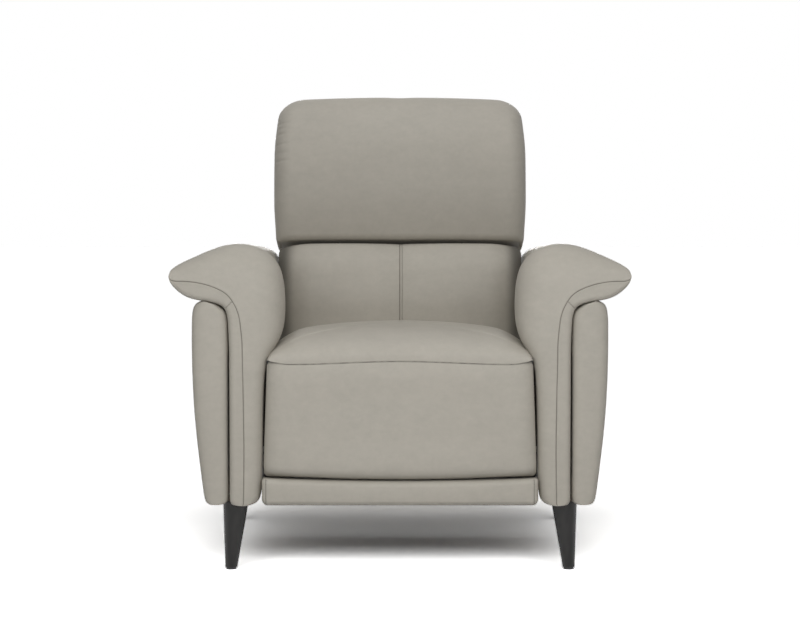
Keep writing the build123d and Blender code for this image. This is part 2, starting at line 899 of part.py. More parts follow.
def make_foot():
    """Make the sliding foot bar with the rods that carry it."""
    nodes["foot_board"] = foot_board()
    nodes["foot_pad"] = foot_pad()
    rod_top = foot_guide_top - side_gap
    nodes["foot_rods"] = pair(
        bar_z(foot_rod_half, rod_depth, (foot_board_top, rod_top), foot_rod_radius))


# The back's own upright frame, with its hinge at the origin, and its place on the chair
back_place = Pos(0, back_axis_depth, back_axis_height) * Rot(-back_rake, 0, 0)
frame_face = back_frame_thick / 2
cushion_back = -frame_face - touch_gap
cushion_face = cushion_back - back_cushion_thick
headrest_foot = back_frame_top + headrest_gap
headrest_axis = Vector(cushion_face + headrest_round, headrest_foot + headrest_round)
hinge_start = back_frame_half
bracket_start = hinge_start + back_hinge_thick + clevis_gap


def back_frame():
    """Return the timber frame of the back: two posts and two rails."""
    depth = spread(frame_face)
    post = block((back_frame_half - back_post_width, back_frame_half), depth,
                 (-back_frame_foot, back_frame_top))
    inner = back_frame_half - back_post_width
    low = block(spread(inner), depth, (-back_frame_foot, back_frame_foot))
    high = block(spread(inner), depth, (back_frame_top - back_rail_height, back_frame_top))
    return group([post, mirrored(post), low, high])


def back_webbing():
    """Return the straps between the posts, level with the front of the frame."""
    inner = back_frame_half - back_post_width
    low = back_frame_foot
    high = back_frame_top - back_rail_height
    pitch = (high - low) / back_strap_count
    depth = (-frame_face, strap_thick - frame_face)
    straps = []
    for index in range(back_strap_count):
        middle = low + pitch * (index + 0.5)
        straps.append(block(spread(inner), depth, (middle - strap_width / 2, middle + strap_width / 2)))
    return group(straps)


def back_cushion():
    """Return the back cushion: two swelling halves that meet in a sewn channel."""
    half = back_half
    edge = cushion_face + back_cushion_edge
    plan = outline(
        [
            (-half, cushion_back),
            (-half, edge),
            (-half / 2, cushion_face),
            (0, cushion_face + back_channel / 2),
            (half / 2, cushion_face),
            (half, edge),
            (half, cushion_back),
        ],
        [
            back_rim_round, back_side_round, back_swell_round, back_channel_round,
            back_swell_round, back_side_round, back_rim_round,
        ],
    )
    top = back_frame_top + headrest_gap / 2
    front = outline(
        [
            (-half, back_cushion_foot),
            (half, back_cushion_foot),
            (half, top),
            (-half, top),
        ],
        [back_corner_round] * 4,
    )
    side = outline(
        [
            (cushion_back, back_cushion_foot),
            (cushion_back, top),
            (cushion_face + back_channel, top),
            (cushion_face, (top + back_cushion_foot) / 2),
            (cushion_face + back_channel, back_cushion_foot),
        ],
        [0, 0, back_corner_round, back_swell_round, back_side_round],
    )
    span = (back_cushion_foot, top)
    return along_z(plan, span) & along_x(side, spread(half)) & along_y(front, (cushion_face, 0))


def back_shell():
    """Return the outside back: a hollow padded shell behind the frame, open to the horn above."""
    rear = frame_face + back_shell_depth
    side = outline(
        [
            (frame_face, -back_shell_foot),
            (rear - back_shell_round, -back_shell_foot),
            (rear, back_shell_top / 2),
            (rear - back_shell_round / 2, back_shell_top),
            (frame_face, back_shell_top),
        ],
        [0, back_shell_round, back_shell_crown_round, back_shell_round, 0],
    )
    plan_half = back_shell_half
    plan = outline(
        [(-plan_half, frame_face), (plan_half, frame_face), (plan_half, rear), (-plan_half, rear)],
        [0, 0, back_shell_round, back_shell_round],
    )
    span = (-back_shell_foot, back_shell_top)
    shell = along_x(side, spread(plan_half)) & along_z(plan, span)
    wall = back_shell_wall
    inner = plan_half - wall
    room = (-back_shell_foot + wall, back_shell_top - wall)
    hollow = block(spread(inner), (frame_face, rear - back_shell_round - wall), room)
    horn_rear = rear - back_shell_round
    horn_room = block(spread(headrest_slot_half), (frame_face, horn_rear), (0, 2 * back_shell_top))
    return shell - hollow - horn_room


def recline_horn():
    """Return the slotted horn that reaches down from the foot of the back to the recline rod."""
    level = Vector(recline_reach, -recline_horn_throw)
    turned = level.rotate(Axis.Z, back_rake)
    near = turned * (recline_horn_throw / turned.length)
    margin = recline_slot_width / 2 + horn_wall
    seat = -back_frame_foot
    cheek = outline(
        [
            (-frame_face, seat),
            (turned.X - margin, turned.Y - margin / 2),
            (turned.X + margin / 2, turned.Y - margin * 1.5),
            (turned.X + margin * 1.5, turned.Y + margin / 2),
            (frame_face + margin, seat - margin),
            (frame_face, seat),
        ],
        [0, horn_round, horn_round, horn_round, horn_round, 0],
    )
    middle = (turned + near) * 0.5
    angle = math.degrees(math.atan2(turned.Y, turned.X))
    cheek -= Pos(middle.X, middle.Y) * Rot(0, 0, angle) * SlotOverall(
        recline_slot_length, recline_slot_width)
    start = eye_half + side_gap
    return pair(along_x(cheek, (start, start + horn_plate_thick)))


def back_hinge_bracket():
    """Return a fixed hinge bracket: a round-topped plate on a foot against the side rail."""
    y = back_axis_depth
    z = back_axis_height
    radius = back_hinge_radius
    low = deck_height - rear_rail_height
    face = Pos(y, z) * Circle(radius)
    face += Pos(y, (z + low) / 2) * Rectangle(2 * radius, z - low)
    end = bracket_start + back_hinge_thick
    plate = along_x(face, (bracket_start, end))
    plate -= bar_x((0, rail_in), y, z, back_pin_radius + pivot_gap)
    foot_top = z - radius - side_gap
    return plate + block((end, rail_in), (y - radius, y + radius - side_gap), (low, foot_top))


def back_hinge_plate():
    """Return a moving hinge plate on a post of the back, with its shoulder pin."""
    plate_end = hinge_start + back_hinge_thick
    face = Circle(back_hinge_radius)
    reach = back_frame_foot + back_rail_height
    face += Pos(0, reach / 2) * Rectangle(2 * back_hinge_radius - side_gap, reach)
    plate = along_x(face, (hinge_start, plate_end))
    head_start = bracket_start + back_hinge_thick + clevis_gap / 2
    pin = bar_x((plate_end, head_start), 0, 0, back_pin_radius)
    head = bar_x((head_start, head_start + back_hinge_thick), 0, 0, back_pin_head)
    return plate + pin + head


def make_back():
    """Make the reclining back and the fixed brackets it hangs on."""
    pieces = {
        "back_frame": back_frame(),
        "back_webbing": back_webbing(),
        "back_cushion": back_cushion(),
        "back_shell": back_shell(),
        "recline_horn": recline_horn(),
        "back_hinge_plates": pair(back_hinge_plate()),
    }
    for name, shape in pieces.items():
        nodes[name] = back_place * shape
    nodes["back_hinge_brackets"] = pair(back_hinge_bracket())


def make_rear_panel():
    """Make the fixed panel low at the rear and the power inlet in it."""
    swing = math.hypot(frame_face + back_shell_depth, back_shell_foot)
    front = back_axis_depth + swing + rear_panel_gap
    rear = front + rear_panel_thick
    panel = block(spread(panel_in), (front, rear), (base_top, leg_height + rear_panel_height))
    height = leg_height + inlet_rise
    hole_z = (height - inlet_height / 2, height + inlet_height / 2)
    panel -= block(spread(inlet_width / 2), (front, rear), hole_z)
    flange_half = inlet_width / 2 + inlet_flange
    flange_z = (hole_z[0] - inlet_flange, hole_z[1] + inlet_flange)
    flange = block(spread(flange_half), (rear, rear + inlet_wall), flange_z)
    flange = fillet(flange.edges().filter_by(Axis.Y), inlet_flange)
    body_front = rear + inlet_wall - inlet_depth
    body = block(spread(inlet_width / 2), (body_front, rear), hole_z)
    socket_z = (hole_z[0] + inlet_wall, hole_z[1] - inlet_wall)
    socket_half = inlet_width / 2 - inlet_wall
    socket = block(spread(socket_half), (body_front + inlet_wall, rear + inlet_wall), socket_z)
    inlet = flange + body - socket
    for side in spread(socket_half / 2):
        inlet += bar_y(side, (body_front + inlet_wall, rear), height, inlet_pin_radius)
    nodes["rear_panel"] = panel
    nodes["power_inlet"] = inlet


headrest_throw = headrest_drive_offset - headrest_axis.X
headrest_reach = headrest_throw * math.tan(math.radians(headrest_travel / 2))
headrest_slot_length, headrest_slot_width = drive(headrest_reach, headrest_travel)[1:]
headrest_pin_start = headrest_axis.Y - headrest_reach
headrest_board_foot = headrest_foot + headrest_round
headrest_top = headrest_foot + headrest_height


def headrest_form():
    """Return the headrest's pillow as the common part of its front, side and plan outlines."""
    half = headrest_half
    foot = headrest_foot
    top = headrest_top
    belly = foot + headrest_height * headrest_belly
    front = outline(
        [
            (-half + headrest_crown, foot),
            (half - headrest_crown, foot),
            (half, belly),
            (half - 2 * headrest_crown, top - headrest_crown),
            (0, top),
            (-half + 2 * headrest_crown, top - headrest_crown),
            (-half, belly),
        ],
        [
            headrest_low_corner, headrest_low_corner, headrest_swell_round, headrest_corner,
            headrest_top_round, headrest_corner, headrest_swell_round,
        ],
    )
    face = cushion_face
    side = outline(
        [
            (face, foot),
            (headrest_rear, foot + headrest_round),
            (headrest_rear, foot + headrest_height / 2),
            (headrest_rear / 2, top),
            (face + headrest_round, top),
            (face - headrest_crown, belly),
        ],
        [
            headrest_round, headrest_heel_round, headrest_back_round, headrest_edge_round,
            headrest_edge_round, headrest_swell_round,
        ],
    )
    plan = outline(
        [
            (-half, face - headrest_crown),
            (half, face - headrest_crown),
            (half, headrest_rear),
            (-half, headrest_rear),
        ],
        [headrest_edge_round] * 4,
    )
    depth = (face - headrest_crown, headrest_rear)
    return along_y(front, depth) & along_x(side, spread(half)) & along_z(plan, (foot, top))


def headrest_arm():
    """Return a moving headrest arm from the tilt axis to a flange on the front of the board."""
    board_face = -headrest_board_thick / 2
    boss = headrest_arm_boss
    axis = headrest_axis
    face = Pos(axis.X, axis.Y) * Circle(boss)
    face += make_face(Polyline(
        (axis.X, axis.Y - boss), (board_face, axis.Y - boss), (board_face, axis.Y + 3 * boss),
        (axis.X, axis.Y + boss), close=True))
    start = headrest_arm_half + horn_plate_thick / 2 + clevis_gap
    end = start + horn_plate_thick
    plate = along_x(face, (start, end))
    flange_start = board_face - horn_plate_thick
    plate += block((end, end + 3 * boss), (flange_start, board_face),
                   (headrest_board_foot, axis.Y + 3 * boss))
    pin = bar_x((headrest_arm_half - horn_plate_thick, start), axis.X, axis.Y, headrest_pin_radius)
    return plate + pin


def headrest_bracket():
    """Return a fixed bracket from the top of the back frame forward to the tilt axis."""
    boss = headrest_arm_boss
    axis = headrest_axis
    seat = back_frame_top
    heel = frame_face - side_gap
    face = Pos(axis.X, axis.Y) * Circle(boss)
    face += make_face(Polyline(
        (axis.X, axis.Y - boss), (-heel, seat + headrest_gap), (-heel, seat), (heel, seat),
        (heel, axis.Y - boss), (axis.X, axis.Y + boss), close=True))
    half = horn_plate_thick / 2
    plate = along_x(face, (headrest_arm_half - half, headrest_arm_half + half))
    plate -= bar_x((0, headrest_half), axis.X, axis.Y, headrest_pin_radius + pivot_gap)
    foot_start = headrest_arm_half - 3 * boss
    foot = block((foot_start, headrest_arm_half - half), spread(heel), (seat, seat + horn_plate_thick))
    return plate + foot


def headrest_horn():
    """Return the headrest's slotted horn, from the back of its board down into the back shell."""
    axis = headrest_axis
    far = Vector(headrest_drive_offset, headrest_pin_start)
    level = far - axis
    near = axis + level * (headrest_throw / level.length)
    margin = headrest_slot_width / 2 + horn_wall
    board_face = headrest_board_thick / 2
    low = headrest_board_foot
    cheek = outline(
        [
            (board_face, low),
            (near.X - margin, near.Y - margin / 2),
            (far.X - margin / 2, far.Y - margin),
            (far.X + margin, far.Y - margin),
            (far.X + margin, far.Y + margin),
            (board_face, low + 4 * margin),
        ],
        [0, horn_round, horn_round, horn_round, horn_round, 0],
    )
    middle = (near + far) * 0.5
    angle = math.degrees(math.atan2(level.Y, level.X))
    cheek -= Pos(middle.X, middle.Y) * Rot(0, 0, angle) * SlotOverall(
        headrest_slot_length, headrest_slot_width)
    start = eye_half + clevis_gap
    return pair(along_x(cheek, (start, start + horn_plate_thick)))


def make_headrest():
    """Make the headrest, its hinges and the small actuator that tilts it."""
    board_z = (headrest_board_foot, headrest_board_foot + headrest_board_height)
    board = block(spread(headrest_board_half), spread(headrest_board_thick / 2), board_z)
    arm_room_x = (headrest_arm_half - 4 * headrest_arm_boss, headrest_arm_half + 5 * headrest_arm_boss)
    arm_top = headrest_axis.Y + 3 * headrest_arm_boss + touch_gap
    room_front = headrest_axis.X - headrest_arm_boss - touch_gap
    arm_room = block(arm_room_x, (room_front, frame_face), (0, arm_top))
    horn_room = block(
        spread(headrest_slot_half), (0, headrest_rear - back_shell_wall),
        (0, headrest_board_foot + 2 * headrest_slot_half + headrest_round))
    pad = headrest_form() - board - arm_room - mirrored(arm_room) - horn_room
    length = headrest_pin_start - headrest_drive_foot
    tube_length = length - lug_length - gearbox_length - 2 * eye_radius
    drive_place = Pos(0, headrest_drive_offset, headrest_drive_foot)
    mount_z = (headrest_drive_foot - eye_radius, back_frame_foot)
    mount = block(spread(eye_half), (frame_face, headrest_drive_offset - eye_radius), mount_z)
    pieces = {
        "headrest_pad": pad,
        "headrest_board": board,
        "headrest_arms": pair(headrest_arm()),
        "headrest_brackets": pair(headrest_bracket()),
        "headrest_horn": headrest_horn(),
        "headrest_actuator": drive_place * actuator(tube_length) + mount,
        "headrest_motor": drive_place * motor(),
        "headrest_drive_rod": drive_place * push_rod(lug_length + gearbox_length + side_gap, length),
    }
    for name, shape in pieces.items():
        nodes[name] = back_place * shape


def make_controls():
    """Make the switch panel on the outside of the right arm, with its four push buttons."""
    face = cover_out + control_proud
    back = face - cover_wall - control_proud
    plate_back = face - control_plate
    shape = Pos(control_depth, control_height) * SlotOverall(control_length, control_width)
    room = Pos(control_depth, control_height) * SlotOverall(
        control_length - control_plate, control_width - control_plate)
    bezel = along_x(shape, (back, face)) - along_x(room, (back, plate_back))
    nodes["arm_cover_right"] -= mirrored(along_x(shape, (back - cover_wall, face)))
    box = along_x(room, (back - switch_box_depth, back))
    names = ("open", "close", "headrest_up", "headrest_down")
    lip_face = plate_back - button_gap
    for index, name in enumerate(names):
        y = control_depth + (index - (len(names) - 1) / 2) * button_pitch
        bezel -= bar_x((back, face), y, control_height, button_radius + button_gap)
        cap = bar_x((lip_face - button_lip, face + button_travel), y, control_height, button_radius)
        lip = bar_x((lip_face - button_lip, lip_face), y, control_height, button_radius + button_lip)
        nodes["button_" + name] = mirrored(cap + lip)
    nodes["control_bezel"] = mirrored(bezel)
    nodes["switch_box"] = mirrored(box)


def export_nodes():
    """Move the pieces so that the footprint's middle is the origin, and write each one."""
    os.makedirs("parts", exist_ok=True)
    boxes = [shape.bounding_box() for shape in nodes.values()]
    front = min(box.min.Y for box in boxes)
    rear = max(box.max.Y for box in boxes)
    centre = (front + rear) / 2
    for name, shape in nodes.items():
        export_step(Pos(0, -centre, 0) * shape, "parts/" + name + ".step")


make_arms_and_legs()
make_seat()
make_tubes()
make_legrest()
make_foot()
make_legrest_drive()
make_recline_drive()
make_back()
make_rear_panel()
make_headrest()
make_controls()
export_nodes()
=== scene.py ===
import json
import math

import bmesh
import bpy
import numpy as np
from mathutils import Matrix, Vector


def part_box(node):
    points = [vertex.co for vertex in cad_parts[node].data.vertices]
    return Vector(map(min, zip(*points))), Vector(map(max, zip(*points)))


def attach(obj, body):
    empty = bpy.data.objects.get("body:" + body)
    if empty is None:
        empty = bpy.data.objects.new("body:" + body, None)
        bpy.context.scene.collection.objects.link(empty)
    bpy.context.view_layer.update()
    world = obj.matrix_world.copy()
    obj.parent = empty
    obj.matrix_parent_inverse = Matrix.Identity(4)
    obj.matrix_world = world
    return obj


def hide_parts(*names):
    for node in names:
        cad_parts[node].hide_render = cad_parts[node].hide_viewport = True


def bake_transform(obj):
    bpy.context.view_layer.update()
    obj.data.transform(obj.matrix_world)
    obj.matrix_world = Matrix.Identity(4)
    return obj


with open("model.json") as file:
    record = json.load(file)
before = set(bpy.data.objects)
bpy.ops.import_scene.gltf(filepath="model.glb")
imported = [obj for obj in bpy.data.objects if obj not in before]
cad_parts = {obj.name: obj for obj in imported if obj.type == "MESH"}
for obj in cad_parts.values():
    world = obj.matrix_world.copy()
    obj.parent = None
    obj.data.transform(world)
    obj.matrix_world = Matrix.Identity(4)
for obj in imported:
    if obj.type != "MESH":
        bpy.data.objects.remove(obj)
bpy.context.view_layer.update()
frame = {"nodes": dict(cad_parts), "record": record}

# Lengths below are in millimetres. Depths are counted back from the front of the arms, and the
# chair's own middle line is x = 0, so one shift along Y brings every point into the frame.
MM = 0.001
HINGE_DEPTH, HINGE_HEIGHT = 14.0, 442.0
PIN_LOW, PIN_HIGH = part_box("legrest_hinge_pin")
SHIFT = HINGE_DEPTH - (PIN_LOW[1] + PIN_HIGH[1]) / 2 / MM
BACK_DEPTH, BACK_HEIGHT, BACK_RAKE = 625.0, 400.0, math.radians(16.0)


# Shader maths

class Value:
    """A shader socket whose arithmetic adds Math nodes."""

    def __init__(self, tree, socket):
        self.tree = tree
        self.socket = socket

    def math(self, operation, *others):
        return add_node(self.tree, "ShaderNodeMath", {"operation": operation}, [self, *others])

    def __add__(self, other):
        return self.math("ADD", other)

    def __mul__(self, other):
        return self.math("MULTIPLY", other)

    def __sub__(self, other):
        return self.math("SUBTRACT", other)

    def __rsub__(self, other):
        return add_node(self.tree, "ShaderNodeMath", {"operation": "SUBTRACT"}, [other, self])

    __radd__ = __add__
    __rmul__ = __mul__


def add_node(tree, kind, settings=None, inputs=None, out=0):
    """Add a node, set its settings first and then its sockets, and return one of its outputs."""
    node = tree.nodes.new(kind)
    for key, value in (settings or {}).items():
        if key == "stops":
            ramp = node.color_ramp.elements
            while len(ramp) < len(value):
                ramp.new(0.5)
            for stop, (place, colour) in zip(ramp, value):
                stop.position = place
                stop.color = (*colour, 1.0)
        else:
            setattr(node, key, value)
    pairs = inputs.items() if isinstance(inputs, dict) else enumerate(inputs or [])
    for key, value in pairs:
        if isinstance(value, Value):
            tree.links.new(value.socket, node.inputs[key])
        else:
            node.inputs[key].default_value = value
    return Value(tree, node.outputs[out])


def new_finish(name):
    """Return a new material's node tree, its shader and its Object coordinates."""
    finish = bpy.data.materials.new(name)
    finish.use_nodes = True
    tree = finish.node_tree
    shader = tree.nodes["Principled BSDF"]
    place = add_node(tree, "ShaderNodeTexCoord", out="Object")
    return finish, tree, shader, place


def noise(tree, place, scale, detail=3.0, rough=0.55):
    """Return a noise value from 0 to 1, with its scale in cells per metre."""
    return add_node(tree, "ShaderNodeTexNoise", {"noise_dimensions": "3D"},
                    {"Vector": place, "Scale": scale, "Detail": detail, "Roughness": rough})


def stretched(tree, place, scale):
    """Return coordinates drawn out along the axes by the given factors."""
    return add_node(tree, "ShaderNodeMapping", None, {"Vector": place, "Scale": scale})


def mixed(tree, share, first, second):
    """Return a colour between two colours."""
    return add_node(tree, "ShaderNodeMix", {"data_type": "RGBA"},
                    {0: share, 6: first, 7: second}, out=2)


def bump(tree, height, strength, distance):
    """Return a normal from a height value."""
    return add_node(tree, "ShaderNodeBump", None,
                    {"Height": height, "Strength": strength, "Distance": distance})


def link(tree, value, shader, socket):
    """Feed a value into one of the shader's sockets."""
    tree.links.new(value.socket, shader.inputs[socket])


def rgb(colour, factor=1.0):
    """Return a colour with its alpha, lightened or darkened by a factor."""
    return (*(min(c * factor, 1.0) for c in colour), 1.0)


LEATHER = (0.425, 0.402, 0.350)


def leather_finish(name, colour):
    """Leather: clouded colour, fine pebble grain with pores, darker and duller in the seams and in the
    painted shade that the seam mask carries beside the arms.

    Where a piece's lining mask is 1 it shows the black cloth of its hidden rear, made black also as
    painted shade behind and under the pads.
    """
    finish, tree, shader, place = new_finish(name)
    clouds = noise(tree, place, 7.0, 4.0, 0.6)
    patches = noise(tree, stretched(tree, place, (26.0, 26.0, 44.0)), 1.0, 4.0, 0.62)
    flecks = noise(tree, place, 90.0, 3.0, 0.6)
    cells = add_node(tree, "ShaderNodeTexVoronoi", {"feature": "DISTANCE_TO_EDGE"},
                     {"Vector": place, "Scale": 620.0})
    pores = noise(tree, place, 1500.0, 2.0, 0.5)
    creases = noise(tree, stretched(tree, place, (60.0, 60.0, 150.0)), 1.0, 4.0, 0.65)
    seam = add_node(tree, "ShaderNodeAttribute", {"attribute_name": "seam"}, out="Fac")
    lining = add_node(tree, "ShaderNodeAttribute", {"attribute_name": "lining"}, out="Fac")
    tone = clouds * 0.5 + patches * 0.7 + flecks * 0.5 - 0.35
    base = mixed(tree, tone, rgb(colour, 0.86), rgb(colour, 1.14))
    warm = mixed(tree, noise(tree, place, 3.2, 2.0) * 0.30, base, rgb((0.43, 0.385, 0.335)))
    # The seam mask darkens the stitched seams, and on the back it also holds painted shade along the side
    # edges beside the arms.
    dark = mixed(tree, seam * 0.75, warm, rgb(colour, 0.22))
    # Lining mask: black cloth on hidden rears and undersides, which also stands in as painted shade there.
    link(tree, mixed(tree, lining, dark, rgb((0.010, 0.010, 0.010))), shader, "Base Color")
    link(tree, flecks * 0.14 + clouds * 0.10 + 0.44 + seam * 0.2, shader, "Roughness")
    grain = cells * 0.55 + pores * 0.20 + creases * 0.35
    link(tree, bump(tree, grain, 0.30, 0.0007), shader, "Normal")
    shader.inputs["Specular IOR Level"].default_value = 0.30
    return finish


def wood_finish(name, dark, light, gloss, shine=0.5):
    """Sawn timber or lacquer over it: long grain along the piece, with growth rings across."""
    finish, tree, shader, place = new_finish(name)
    grain = noise(tree, stretched(tree, place, (160.0, 160.0, 9.0)), 1.0, 5.0, 0.6)
    rings = add_node(tree, "ShaderNodeTexWave", {"wave_type": "BANDS"},
                     {"Vector": place, "Scale": 14.0, "Distortion": 5.0, "Detail": 3.0})
    tone = grain * 0.6 + rings * 0.4
    link(tree, mixed(tree, tone, rgb(dark), rgb(light)), shader, "Base Color")
    link(tree, grain * 0.18 + gloss, shader, "Roughness")
    link(tree, bump(tree, grain, 0.16, 0.0008), shader, "Normal")
    shader.inputs["Specular IOR Level"].default_value = shine
    return finish


def metal_finish(name, colour, metallic, rough):
    """Metal or paint on metal: fine drawn lines, faint blotches and a little wear."""
    finish, tree, shader, place = new_finish(name)
    lines = noise(tree, stretched(tree, place, (30.0, 900.0, 900.0)), 1.0, 3.0, 0.6)
    blotch = noise(tree, place, 26.0, 3.0)
    link(tree, mixed(tree, blotch, rgb(colour, 0.82), rgb(colour, 1.16)), shader, "Base Color")
    link(tree, lines * 0.16 + blotch * 0.10 + rough, shader, "Roughness")
    link(tree, bump(tree, lines, 0.07, 0.0004), shader, "Normal")
    shader.inputs["Metallic"].default_value = metallic
    return finish


def plastic_finish(name, colour, rough, strength):
    """Moulded plastic with a spark-eroded texture."""
    finish, tree, shader, place = new_finish(name)
    spark = noise(tree, place, 2400.0, 2.0)
    cloud = noise(tree, place, 18.0, 3.0)
    link(tree, mixed(tree, cloud, rgb(colour, 0.85), rgb(colour, 1.2)), shader, "Base Color")
    link(tree, spark * 0.12 + cloud * 0.08 + rough, shader, "Roughness")
    link(tree, bump(tree, spark, strength, 0.0004), shader, "Normal")
    return finish


def webbing_finish(name, colour):
    """Woven straps: warp and weft as two crossed waves."""
    finish, tree, shader, place = new_finish(name)
    threads = {"Vector": place, "Scale": 110.0}
    warp = add_node(tree, "ShaderNodeTexWave", {"bands_direction": "X"}, threads)
    weft = add_node(tree, "ShaderNodeTexWave", {"bands_direction": "Y"}, threads)
    weave = warp * weft
    link(tree, mixed(tree, weave, rgb(colour, 0.6), rgb(colour, 1.7)), shader, "Base Color")
    link(tree, weave * 0.1 + 0.8, shader, "Roughness")
    link(tree, bump(tree, weave, 0.5, 0.0008), shader, "Normal")
    return finish


leather = leather_finish("leather_grey", LEATHER)
FINISHES = {
    "leather": leather,
    "frame_wood": wood_finish("stained_timber", (0.030, 0.021, 0.014), (0.070, 0.050, 0.034), 0.62),
    "leg_black": wood_finish("leg_lacquer", (0.004, 0.004, 0.004), (0.016, 0.015, 0.014), 0.36, 0.22),
    "rear_lining": leather,
    "webbing": webbing_finish("black_webbing", (0.02, 0.02, 0.02)),
    "black_steel": metal_finish("black_steel_paint", (0.022, 0.022, 0.023), 0.0, 0.38),
    "bright_steel": metal_finish("zinc_plate", (0.56, 0.56, 0.55), 1.0, 0.28),
    "chromed_rod": metal_finish("rod_chrome", (0.72, 0.72, 0.73), 1.0, 0.10),
    "drive_plastic": plastic_finish("drive_housing", (0.026, 0.026, 0.028), 0.48, 0.16),
    "black_plastic": plastic_finish("black_trim", (0.018, 0.018, 0.019), 0.42, 0.12),
    "button_plastic": plastic_finish("button_caps", (0.085, 0.085, 0.09), 0.20, 0.04),
}
for part in frame["record"]["subparts"]:
    node = frame["nodes"][part["node"]]
    node.data.materials.clear()
    node.data.materials.append(FINISHES[part["material_slot"]])


# Outlines and grids

def smooth(t, low, high):
    """Return 0 below low, 1 above high, and a smooth step between them."""
    t = np.clip((np.asarray(t, float) - low) / (high - low), 0.0, 1.0)
    return t * t * (3.0 - 2.0 * t)


def ridge(t, middle, width):
    """Return a bell of height 1 about the middle."""
    return np.exp(-((np.asarray(t, float) - middle) / width) ** 2)


def through(points, at):
    """Return a smooth curve through the points: Catmull-Rom pieces between each pair."""
    points = np.asarray(points, float)
    padded = np.vstack([2 * points[0] - points[1], points, 2 * points[-1] - points[-2]])
    first = np.clip(np.floor(at).astype(int), 0, len(points) - 2)
    t = (at - first)[:, None]
    a, b, c, d = (padded[first + k] for k in range(4))
    return 0.5 * (2 * b + (c - a) * t + (2 * a - 5 * b + 4 * c - d) * t ** 2
                  + (3 * b - 3 * c + d - a) * t ** 3)


def leaned(points):
    """Return points of the back's own upright frame, leaned by its rake about its hinge."""
    x, y, z = np.moveaxis(points, -1, 0)
    c, s = math.cos(BACK_RAKE), math.sin(BACK_RAKE)
    return np.stack([x, BACK_DEPTH + y * c + z * s, BACK_HEIGHT - y * s + z * c], -1)


def grid_piece(name, rings, **masks):
    """Make a closed mesh from rings of points: quads around each ring and from ring to ring.

    Rings that shrink to a point or a line at the ends are merged there. Each mask, one number per
    point, is kept as an attribute for the finish.
    """
    count, around = rings.shape[:2]
    points = rings.reshape(-1, 3).copy()
    points[:, 1] -= SHIFT
    points *= MM
    row = np.arange(count - 1)[:, None] * around
    column = np.arange(around)[None]
    after = (column + 1) % around
    quads = np.stack([row + column, row + after, row + around + after, row + around + column], -1)
    mesh = bpy.data.meshes.new(name)
    mesh.from_pydata(points.tolist(), [], quads.reshape(-1, 4).tolist())
    for mask in ("seam", "lining"):
        layer = mesh.attributes.new(mask, "FLOAT", "POINT")
        spread = np.broadcast_to(np.asarray(masks.get(mask, 0.0), float), (count, around))
        layer.data.foreach_set("value", spread.reshape(-1).astype(np.float32))
    work = bmesh.new()
    work.from_mesh(mesh)
    bmesh.ops.remove_doubles(work, verts=work.verts, dist=0.00002)
    bmesh.ops.dissolve_degenerate(work, edges=work.edges, dist=0.000005)
    bmesh.ops.recalc_face_normals(work, faces=work.faces)
    work.to_mesh(mesh)
    work.free()
    mesh.polygons.foreach_set("use_smooth", np.ones(len(mesh.polygons), bool))
    piece = bpy.data.objects.new(name, mesh)
    bpy.context.scene.collection.objects.link(piece)
    mesh.materials.append(leather)
    return piece


def settle(piece, body, node):
    """Ride a leather pad on its body in place of its CAD node."""
    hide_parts(node)
    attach(piece, body)


def nested_rings(half, low, high, low_round, high_round, insets, spread, side=22, corner=6):
    """Return rounded rectangles nested into each other, as x and z of shape (rings, points).

    Each ring lies inside the outline by its inset, and its corner arcs shrink in proportion, so that
    the last one closes on the middle line. The two shares are 1 along the top and along the foot,
    and fall to 0 across the corners.
    """
    reach = (high - low) / 2
    inset = np.asarray(insets, float)[:, None]
    left = 1 - inset / reach
    a, b = half - inset, reach - inset
    upper, lower = high_round * left, low_round * left
    turn = np.linspace(0, 1, corner + 2)[None, 1:-1]
    s, c = np.sin(turn * math.pi / 2), np.cos(turn * math.pi / 2)
    down = np.linspace(0, 1, side)[None]
    spread = np.asarray(spread, float)[None]
    flat = np.ones_like(spread)
    right_x = [a - upper + upper * s, a + 0 * down, a - lower + lower * c]
    right_z = [b - upper + upper * c, b - upper + (lower + upper - 2 * b) * down, lower - b - lower * s]
    x = [(a - upper) * spread, *right_x, (lower - a) * spread, *[-v[:, ::-1] for v in right_x[::-1]]]
    z = [b * flat, *right_z, -b * flat, *[v[:, ::-1] for v in right_z[::-1]]]
    top = [flat, 1 - turn, 0 * down, 0 * turn, 0 * flat, 0 * turn, 0 * down, turn]
    foot = [0 * flat, 0 * turn, 0 * down, turn, flat, 1 - turn, 0 * down, 0 * turn]
    x, z, top, foot = (np.concatenate(v, 1) for v in (x, z, top, foot))
    return x, z + (low + high) / 2, inset, top, foot


def insets_to(reach, count, power):
    """Return insets from the middle line out to the outline, closest together at the outline."""
    return reach * np.linspace(1, 0, count) ** power


def edge_fall(gap, width, drop, power=2.0):
    """Return how far a soft edge falls away over a width near its outline: a quarter superellipse."""
    return drop * (1 - (1 - np.clip(1 - gap / width, 0, 1) ** power) ** (1 / power))


def edge_gap(x, z, half, high, corner):
    """Return the distance inward from the two sides and the top of an outline with round top corners."""
    a = np.abs(x) - (half - corner)
    b = z - (high - corner)
    return corner - np.hypot(np.maximum(a, 0), np.maximum(b, 0)) - np.minimum(np.maximum(a, b), 0)


def closed_pad(front, rear, walls=4):
    """Return the rings of a whole pad: its front to the outline, its side walls, its rear inward."""
    share = np.linspace(0, 1, walls + 2)[1:-1, None, None]
    between = front[-1:] + (rear[:1] - front[-1:]) * share
    return np.concatenate([front, between, rear])


EVEN = np.linspace(-1, 1, 73)
FILL_FRAMES, FILL_PRESSURE, EVEN_ROUNDS = 20, 4.0, 60


def points_of(piece):
    """Return a piece's points in millimetres, with depths counted from the front of the arms."""
    flat = np.empty(len(piece.data.vertices) * 3)
    piece.data.vertices.foreach_get("co", flat)
    points = flat.reshape(-1, 3) / MM
    points[:, 1] += SHIFT
    return points


